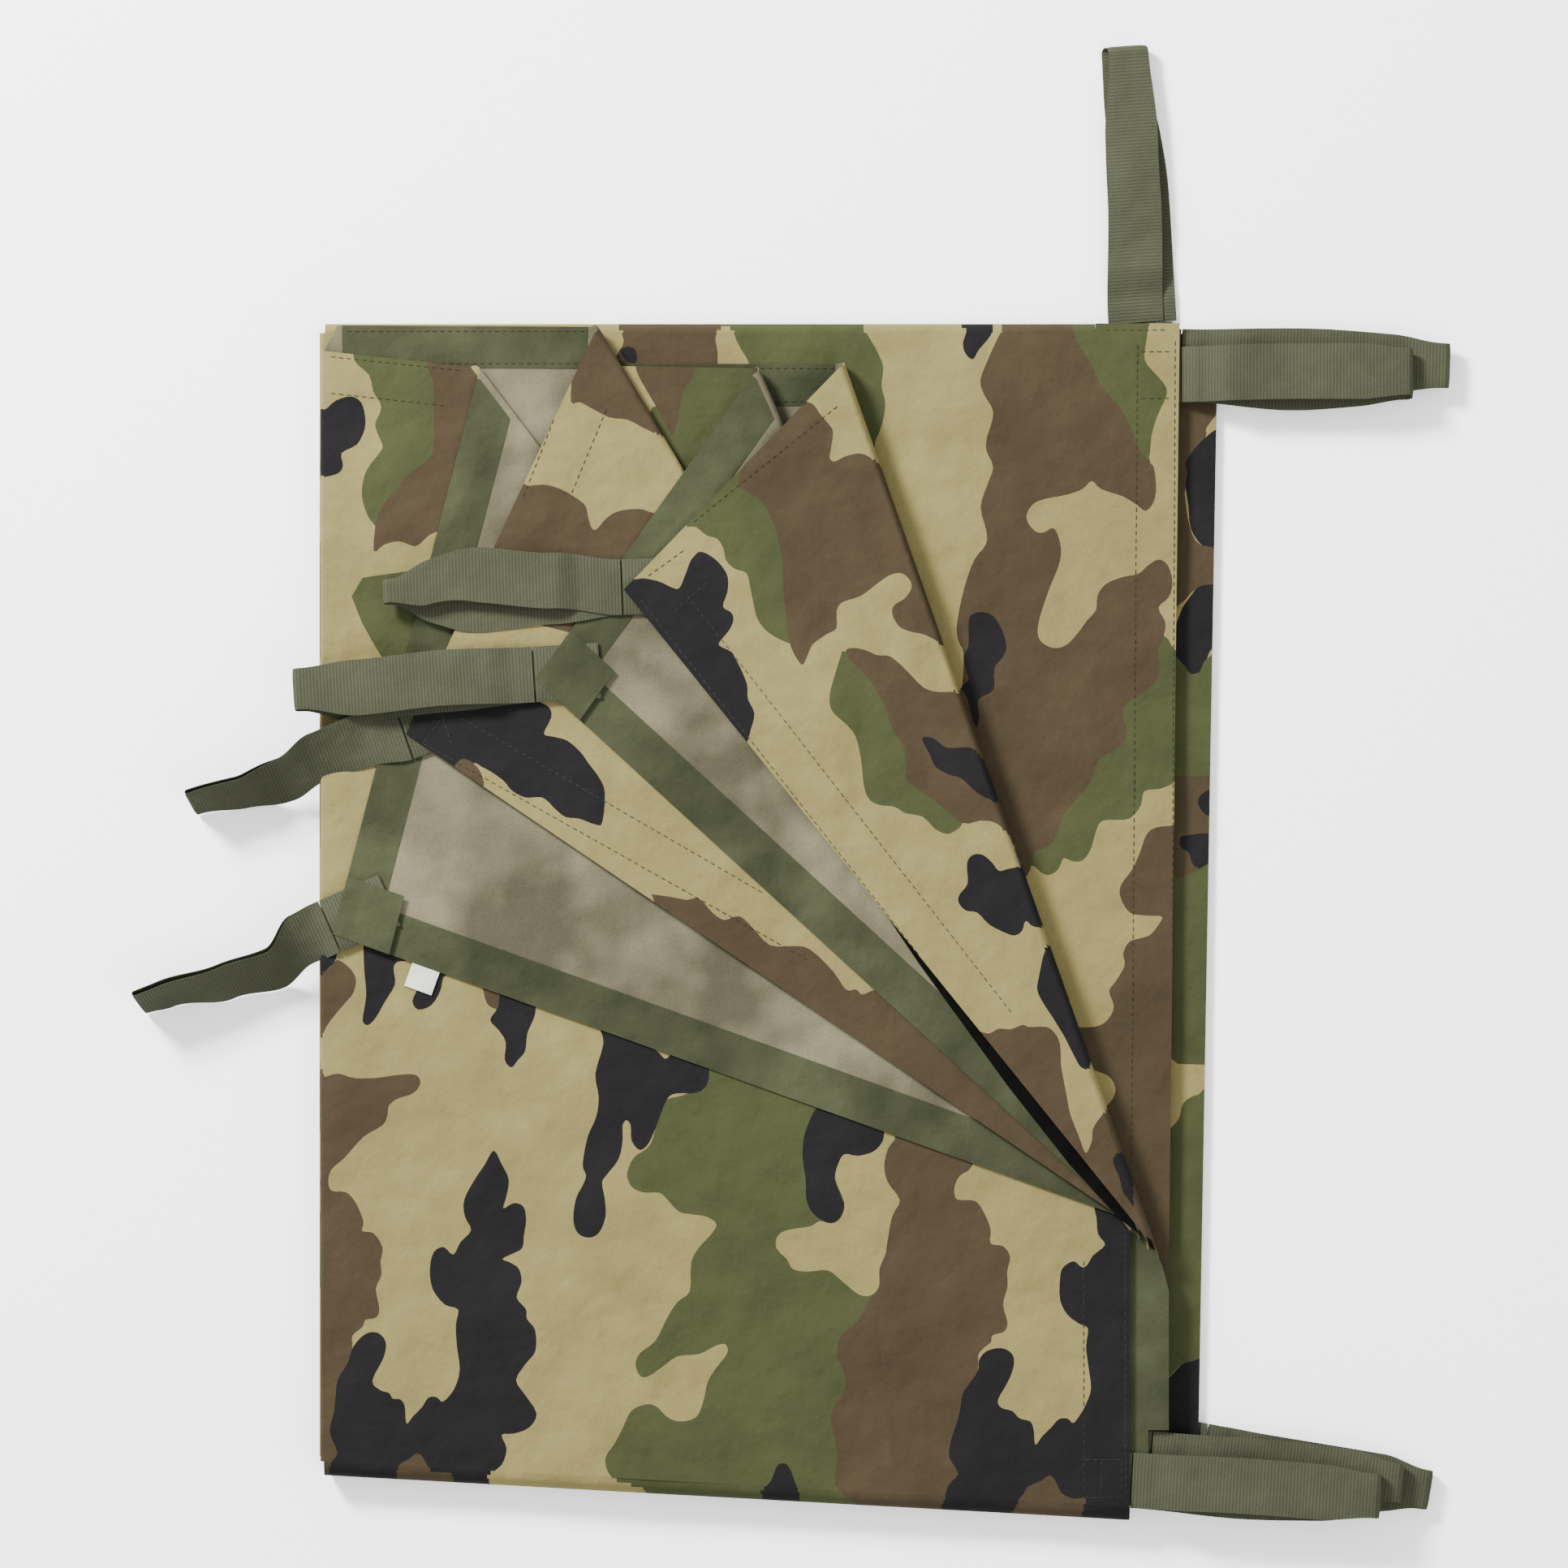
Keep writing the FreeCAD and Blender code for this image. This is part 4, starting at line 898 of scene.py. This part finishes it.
# How deep behind the creases the hem and end tapes stop, and how far the tapes stand off the corners.
HEM_BACK = 4.5
END_BACK = 4.0
FLAP_HEM_BACK = 5.0
CORNER_GAP = 2.0
HEM_START = 1.5
CENTRE = (0.0, 0.0)
for layer in "efgh":
    crease = CREASE[FLAP_OF[layer]]
    right = (RIGHT[layer], LOW_RIGHT + UPPER_INSET + HEM_START)
    hem = tape("tape_hem_" + layer, right, slid(crease[1], right, crease, HEM_BACK), (LEFT, LOW_LEFT), layer,
               "hem_tape_" + layer)
    top = TOP_LEFT[layer][0]
    end = tape("tape_end_" + layer, (top[0] + CORNER_GAP, top[1]), slid(crease[0], top, crease, END_BACK),
               CENTRE, layer, "end_tape_" + layer)
    strips[layer] += [hem, end]
for layer in "ijkm":
    near, far = RIGHT_LOWER[layer]
    hem = tape("tape_hem_" + layer, (near, LOW_CORNER + LOWER_INSET), (far, CREST - TOP_TURN), CENTRE, layer,
               "hem_tape_" + layer)
    strips[layer].append(hem)
for flap, crease in CREASE.items():
    top, root = crease
    start = slid(top, TIP[flap], crease, END_BACK)
    end = tape("tape_flap_end_" + flap, start, TIP[flap], root, flap, "flap_end_tape_" + flap)
    tip, back = np.array(TIP[flap]), np.array(slid(root, TIP[flap], crease, FLAP_HEM_BACK))
    start = tip + (back - tip) * (TAPE_WIDTH + CORNER_GAP) / np.linalg.norm(back - tip)
    hem = tape("tape_flap_hem_" + flap, start, back, top, flap, "flap_hem_tape_" + flap)
    strips[flap] += [end, hem]

# The end of f's hem tape stands out to the right of the layers under it.
outline = [(150, -303), (161.6, -303), (161.6, -291.8), (170.9, -291.8), (170.9, -229), (168, -218),
           (164.6, -211), (155, -203), (150, -203)]
bottom = LEVEL["f"] + CLOTH
wide_tape = slab("tape_hem_f_edge", outline, bottom, bottom + TAPE * 0.9, "f", 5.0, [SEAM_TAPE])
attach(wide_tape, "upper_half")
strips["f"].append(wide_tape)

# A near-black sheet lies in the deep gap under flap a's hem: it is painted shadow of the gap, not cloth of
# the pile.
SHADE_SHEET_THICKNESS = 0.25
SHADE_SHEET_GAP = 0.05
outline = [(20, -25), (60, -76), (110, -138), (152, -192), (157, -203), (148, -196), (126, -172),
           (98, -136.4), (58.5, -82)]
bottom = LEVEL["b"] + CLOTH + TAPE + SHADE_SHEET_GAP
shade_sheet = slab("facing_flap_b", outline, bottom, bottom + SHADE_SHEET_THICKNESS, "b", 5.0, [DEEP_SHADE])
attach(shade_sheet, "corner_b")
strips["b"].append(shade_sheet)

# Square patches hold down the loops' sewn ends at the two tips that show their reverse.
PATCH = 27.0
PATCH_RISE = 0.82  # above the middle of the sewn end
for flap in "bd":
    tip = np.array(TIP[flap])
    to_top, to_root = (np.array(end) - tip for end in CREASE[flap])
    across = to_top / np.linalg.norm(to_top) * PATCH
    along = to_root / np.linalg.norm(to_root) * PATCH
    outline = [tuple(p) for p in (tip, tip + along, tip + along + across, tip + across)]
    bottom = LOOPS["corner_" + flap][4][0][1] + PATCH_RISE
    patch = slab("tape_corner_patch_" + flap, outline, bottom, bottom + TAPE, "", 4.0, [SEAM_TAPE])
    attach(patch, "corner_" + flap)
    strips[flap].append(patch)

# ---- The turns of cloth between the layers


def middles(low, high):
    """The heights of the middles of two layers."""
    return LEVEL[low] + CLOTH / 2, LEVEL[high] + CLOTH / 2


for flap, crease in CREASE.items():
    top, root = crease
    panel = PANEL_OF[flap]
    low_edge = [slid(top, TOP_LEFT[panel][0], crease), slid(root, (RIGHT[panel], LOW_RIGHT), crease)]
    high_edge = [slid(top, TIP[flap], crease), slid(root, TIP[flap], crease)]
    bulge = -inward(crease) * (CREASE_INSET - CLOTH / 2)
    z_low, z_high = middles(panel, flap)
    piece = fold("crease_" + flap, low_edge, high_edge, bulge, z_low, z_high, flap in "ac", flap)
    x, y = (np.array(top) + np.array(root)) / 2 * MM
    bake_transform(piece)
    strips[flap].append(piece)

UNDER_TOP = CREST - TOP_TURN
for high, low, top_y in (("e", "f", 194.0), ("g", "h", 188.5), ("i", "j", UNDER_TOP), ("k", "m", UNDER_TOP)):
    inset = UPPER_INSET if high in "eg" else LOWER_INSET
    edge = [(LEFT, LOW_LEFT + inset), (LEFT, top_y)]
    z_low, z_high = middles(low, high)
    piece = fold("turn_left_" + high + low, edge, edge, (-(z_high - z_low) / 2, 0), z_low, z_high, True, high)
    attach(piece, body_for(high))
    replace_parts(piece, "left_fold_" + high + low)
    strips[high].append(piece)

# The turns at the bottom lie one inside the other.
low_edge = [(LEFT, LOW_LEFT + LOWER_INSET), (RIGHT["e"], LOW_RIGHT + LOWER_INSET)]
high_edge = [(LEFT, LOW_LEFT + UPPER_INSET), (RIGHT["e"], LOW_RIGHT + UPPER_INSET)]
for high, low, reach, pitch in (("e", "m", 7.35, 0.8), ("f", "k", 4.65, 3.0), ("g", "j", 3.85, 3.0)):
    z_low, z_high = middles(low, high)
    piece = fold("turn_bottom_" + high + low, low_edge, high_edge, (0, -reach), z_low, z_high, high in "eg",
                 high, pitch)
    if high == "e":
        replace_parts(piece, "bottom_folds_upper", "bottom_folds_lower")
    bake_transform(piece)
    strips[high].append(piece)

for high, low, reach in (("i", "m", 4.0), ("j", "k", 0.4)):
    edge = [(LEFT, UNDER_TOP), (TOP_FOLD_END, UNDER_TOP)]
    z_low, z_high = middles(low, high)
    piece = fold("turn_top_" + high + low, edge, edge, (0, reach), z_low, z_high, high == "i", high)
    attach(piece, "lower_half")
    if high == "i":
        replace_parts(piece, "top_folds")
    strips[high].append(piece)

# ---- Webbing: the hand loops and their sewn ends



def knots(s, table, column):
    """A smooth line through a table's knots."""
    places = [row[0] for row in table]
    values = [row[column] for row in table]
    result = np.full_like(s, values[-1])
    result[s <= places[0]] = values[0]
    for k in range(len(places) - 1):
        here = (s >= places[k]) & (s <= places[k + 1])
        share = eased((s[here] - places[k]) / (places[k + 1] - places[k]))
        result[here] = values[k] + (values[k + 1] - values[k]) * share
    return result


def mark_along(piece, places):
    """Stores how far along the webbing each point is, in ribs, for the ribs' shade."""
    attribute = piece.data.attributes.new("rib_place", "FLOAT", "POINT")
    attribute.data.foreach_set("value", (places / RIB).astype(np.float32))


def tube(count, around, first=0):
    """The faces of a closed tube of rings, with a cap on both ends."""
    faces = []
    for start in range(first, first + (count - 1) * around, around):
        for m in range(around):
            n = (m + 1) % around
            faces.append((start + m, start + n, start + around + n, start + around + m))
    last = first + (count - 1) * around
    faces.append(tuple(range(first, first + around))[::-1])
    faces.append(tuple(range(last, last + around)))
    return faces


def hand_loop(name, x, y, heading, reach, course, stray):
    """A strip of ribbed webbing that runs out, turns round and comes back."""
    turn = np.linspace(-math.pi / 2, math.pi / 2, 21)[1:-1]
    out = np.linspace(0, reach, 120)
    widest = LIMP_OPEN if name in ROLL else LOOP_OPEN
    opening = 0.4 + (widest - 0.4) * eased((out - course[1][0]) / (course[2][0] - course[1][0]))
    height = knots(out, course, 1)
    sag = 0.35 * np.sin(out / reach * 9.0 + x) * eased(out / 40)
    lower = np.column_stack([out, knots(out, stray, 2), height - opening + np.maximum(sag * 0.4, 0)])
    upper = np.column_stack([out, knots(out, stray, 1), height + opening + sag])
    share = (np.sin(turn) + 1) / 2
    end_side = stray[-1][2] + (stray[-1][1] - stray[-1][2]) * share
    end_height = height[-1] + widest * np.sin(turn) + sag[-1] * share
    tip = np.column_stack([reach + widest * np.cos(turn), end_side, end_height])
    path = np.concatenate([lower, tip, upper[::-1]])
    gone = np.concatenate([[0], np.cumsum(np.linalg.norm(np.diff(path, axis=0), axis=1))])
    places = np.arange(0, gone[-1], RIB / 4)
    path = np.column_stack([np.interp(places, gone, path[:, k]) for k in range(3)])
    tangent = np.gradient(path, axis=0)
    tangent /= np.linalg.norm(tangent, axis=1)[:, None]
    normal = np.column_stack([-tangent[:, 2], np.zeros(len(path)), tangent[:, 0]])
    roll = np.radians(knots(path[:, 0], ROLL.get(name, [(0, 0), (reach, 0)]), 1))
    normal /= np.linalg.norm(normal, axis=1)[:, None]
    narrow = knots(path[:, 0], NARROW.get(name, [(0, 1), (reach, 1)]), 1)
    across = np.linspace(-1, 1, 9)
    edge = 1 - 0.75 * np.abs(across) ** 6
    rib = 1 + 0.2 * np.cos(places / RIB * 2 * math.pi)
    rings = []
    for side in (1, -1):
        for u, thin in zip(across[::side], edge[::side]):
            ring = path + normal * (side * WEBBING / 2 * thin * rib * 0.92)[:, None]
            spread = u * WEBBING_WIDTH / 2 * narrow
            centre_side = knots(ring[:, 0], stray, 1)
            centre_height = knots(ring[:, 0], course, 1)
            aside = path[:, 1] - centre_side + spread
            aloft = ring[:, 2] - centre_height
            raised = np.maximum(centre_height, WEBBING_WIDTH / 2 * np.sin(roll) + widest + WEBBING)
            ring[:, 1] = centre_side + aside * np.cos(roll) + aloft * np.sin(roll)
            ring[:, 2] = np.where(roll > 0, raised, centre_height)
            ring[:, 2] += aloft * np.cos(roll) - aside * np.sin(roll)
            rings.append(ring)
    local = np.stack(rings, 1)
    count, around = local.shape[:2]
    local = local.reshape(-1, 3)
    angle = math.radians(heading)
    px = x + local[:, 0] * math.cos(angle) - local[:, 1] * math.sin(angle)
    py = y + local[:, 0] * math.sin(angle) + local[:, 1] * math.cos(angle)
    points = np.column_stack([px, py, np.maximum(local[:, 2] * (1 + wave(px, py)), 0.02)])
    piece = make("webbing_loop_" + name, points, tube(count, around), [WEB])
    mark_along(piece, np.repeat(places, around))
    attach(piece, "hand_" + name)
    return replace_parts(piece, "loop_" + name)


def sewn_end(name, layer, x, y, heading, z):
    """The doubled end of a loop under a hem, with the ribs of the webbing."""
    angle = math.radians(heading)
    back = np.array([-math.cos(angle), -math.sin(angle)])
    side = np.array([-back[1], back[0]]) * WEBBING_WIDTH / 2
    lengths = np.arange(0.5, 30, RIB / 4)
    ring = [(-1, 0.7), (-0.97, 1), (0.97, 1), (1, 0.7), (1, -0.7), (0.97, -1), (-0.97, -1), (-1, -0.7)]
    points = []
    for s in lengths:
        rib = SEWN_HALF * (1 + 0.06 * math.cos(s / RIB * 2 * math.pi))
        for across, up in ring:
            px, py = np.array([x, y]) + back * s + side * across
            points.append((px, py, z + up * rib))
    points = np.array(points)
    points[:, 2] = settled("", *points.T)
    piece = make("webbing_sewn_" + name, points, tube(len(lengths), len(ring)), [WEB])
    mark_along(piece, np.repeat(lengths, len(ring)))
    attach(piece, body_for(layer))
    return piece


for name, values in LOOPS.items():
    hand_loop(name, *values)
for name, (layer, node) in SEWN.items():
    x, y, heading, _, course, _ = LOOPS[name]
    piece = sewn_end(name, layer, x, y, heading, course[0][1])
    if node:
        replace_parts(piece, node)

# ---- The blank label under the hem of flap d

LABEL_START = 38
LABEL_WIDTH = 13
LABEL_DEPTH = 11
label_low, label_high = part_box("label")
tip, root = np.array(TIP["d"]), np.array(CREASE["d"][1])
along = (root - tip) / np.linalg.norm(root - tip)
corner = tip + along * LABEL_START
wide, deep = along * LABEL_WIDTH, np.array([along[1], -along[0]]) * LABEL_DEPTH
outline = [tuple(p) for p in (corner, corner + deep, corner + deep + wide, corner + wide)]
label = slab("label_blank", outline, label_low.z / MM, label_high.z / MM, "", 2.0, [LABEL])
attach(label, "corner_d")
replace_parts(label, "label")

# ---- Stitching: every stitch is a short rounded length of thread

# Each seam is a line from one end to the other, by the layer it runs over.
STITCH = 2.5
STITCH_GAP = 1.0
THREAD_RADIUS = 0.22
SEAMS = {
    "e": [((132.5, -215), (132.5, -322)), ((151.3, -203), (151.3, -323)), ((140.5, -305), (140.5, -322)),
          ((149.5, -305), (149.5, -322)), ((132.5, -305), (151.3, -305)), ((132.5, -322), (151.3, -322)),
          ((-207, 175), (-152, 169)), ((-207, 191.5), (-146, 185))],
    "i": [((154, -208), (157, 200)), ((172, -210), (174, 200)), ((142, 203.8), (173, 203.8)),
          ((158, 173), (173, 173)), ((158, 194), (173, 194))],
    "c": [((-148, 29), (-10, -51)), ((-165, 17.5), (10, -81)), ((-82, 168), (-99, 127)),
          ((-98, 183), (-120, 127)), ((-165, 17), (-151, 36)), ((-158, 36), (-151, 14))],
    "a": [((-46, 84), (100, -104)), ((-67, 82), (60, -80)), ((22, 169), (-44, 116)), ((8, 171), (-62, 105)),
          ((-64, 92), (-46, 105)), ((-52, 76), (-34, 92))],
    "h": [((-14, 171.5), (21, 171.5)), ((-14, 186.5), (22, 186.5))],
    "f": [((-203, 188.5), (-92, 188.5)), ((-200, 203), (-90, 203))],
}


def stitches(layer, lines):
    """The stitches along a layer's seams, wherever the seams run over the layer."""
    points, faces = [], []
    top = LEVEL[layer] + CLOTH + (0 if layer in PRINT_UP else TAPE)
    ring = [(0, 1), (0.87, 0.5), (0.87, -0.5), (0, -1), (-0.87, -0.5), (-0.87, 0.5)]
    sizes = [(-0.5, 0.35), (-0.36, 0.85), (0, 1.0), (0.36, 0.85), (0.5, 0.35)]
    outline = outline_of(layer)
    for start, end in lines:
        start, end = np.array(start, float), np.array(end, float)
        length = np.linalg.norm(end - start)
        along = (end - start) / length
        across = np.array([-along[1], along[0]])
        for k in range(int(length / (STITCH + STITCH_GAP))):
            middle = start + along * (k + 0.5) * (STITCH + STITCH_GAP)
            if not inside(middle[:1], middle[1:], outline)[0]:
                continue
            first = len(points)
            for s, size in sizes:
                x, y = middle + along * s * STITCH
                z = float(settled(layer, [x], [y], top)[0]) + 0.10 - 0.8 * s * s
                for u, v in ring:
                    px, py = np.array([x, y]) + across * u * size * THREAD_RADIUS
                    points.append((px, py, z + v * size * THREAD_RADIUS))
            faces += tube(len(sizes), len(ring), first)
    piece = make("stitching_" + layer, points, faces, [THREAD])
    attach(piece, body_for(layer))
    strips[layer].append(piece)


for layer, lines in SEAMS.items():
    stitches(layer, lines)

# ---- The flat size of each layer's cloth


def area(outline):
    """The area inside an outline, in square millimetres."""
    p = np.array(outline, float)
    x, y = p.T
    return abs(np.sum(x * np.roll(y, -1) - y * np.roll(x, -1))) / 2


for layer, piece in layers.items():
    outline = np.array(outline_of(layer))
    width, height = (outline.max(0) - outline.min(0)) * MM
    if layer in TIP:
        (x0, y0), (x1, y1) = CREASE[layer]
        height = math.hypot(x1 - x0, y1 - y0) * MM
        width = 2 * area(outline) * MM * MM / height

# ---- Floor, light and camera

FLOOR_HALF = 3.0
FLOOR_Z = -0.0003
mesh = bpy.data.meshes.new("floor")
corners = [(x * FLOOR_HALF, y * FLOOR_HALF, FLOOR_Z) for x, y in ((-1, -1), (1, -1), (1, 1), (-1, 1))]
mesh.from_pydata(corners, [], [(0, 1, 2, 3)])
floor = bpy.data.objects.new("floor", mesh)
bpy.context.scene.collection.objects.link(floor)
paper = bpy.data.materials.new("pale_floor")
paper.use_nodes = True
paper.node_tree.nodes["Principled BSDF"].inputs["Base Color"].default_value = (0.96, 0.96, 0.96, 1)
paper.node_tree.nodes["Principled BSDF"].inputs["Roughness"].default_value = 0.9
mesh.materials.append(paper)
floor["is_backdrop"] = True

world = bpy.data.worlds.new("studio")
bpy.context.scene.world = world
world.use_nodes = True
world.node_tree.nodes["Background"].inputs["Color"].default_value = (1, 1, 1, 1)
world.node_tree.nodes["Background"].inputs["Strength"].default_value = 1.6


def lamp(name, place, size, power):
    """A square lamp that faces the pile."""
    light = bpy.data.lights.new(name, "AREA")
    light.shape = "SQUARE"
    light.size = size
    light.energy = power
    holder = bpy.data.objects.new(name, light)
    bpy.context.scene.collection.objects.link(holder)
    holder.location = place
    holder.rotation_euler = (-Vector(place)).to_track_quat("-Z", "Y").to_euler()


lamp("key", (-1.6, 1.7, 1.5), 0.6, 340.0)
lamp("fill", (1.4, -1.0, 2.2), 1.6, 40.0)

camera = bpy.data.cameras.new("camera")
camera.sensor_width = 36
camera.lens = 162.5
holder = bpy.data.objects.new("camera", camera)
bpy.context.scene.collection.objects.link(holder)
holder.location = (-0.0024, -0.0009, 3.2)
bpy.context.scene.camera = holder

low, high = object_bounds()
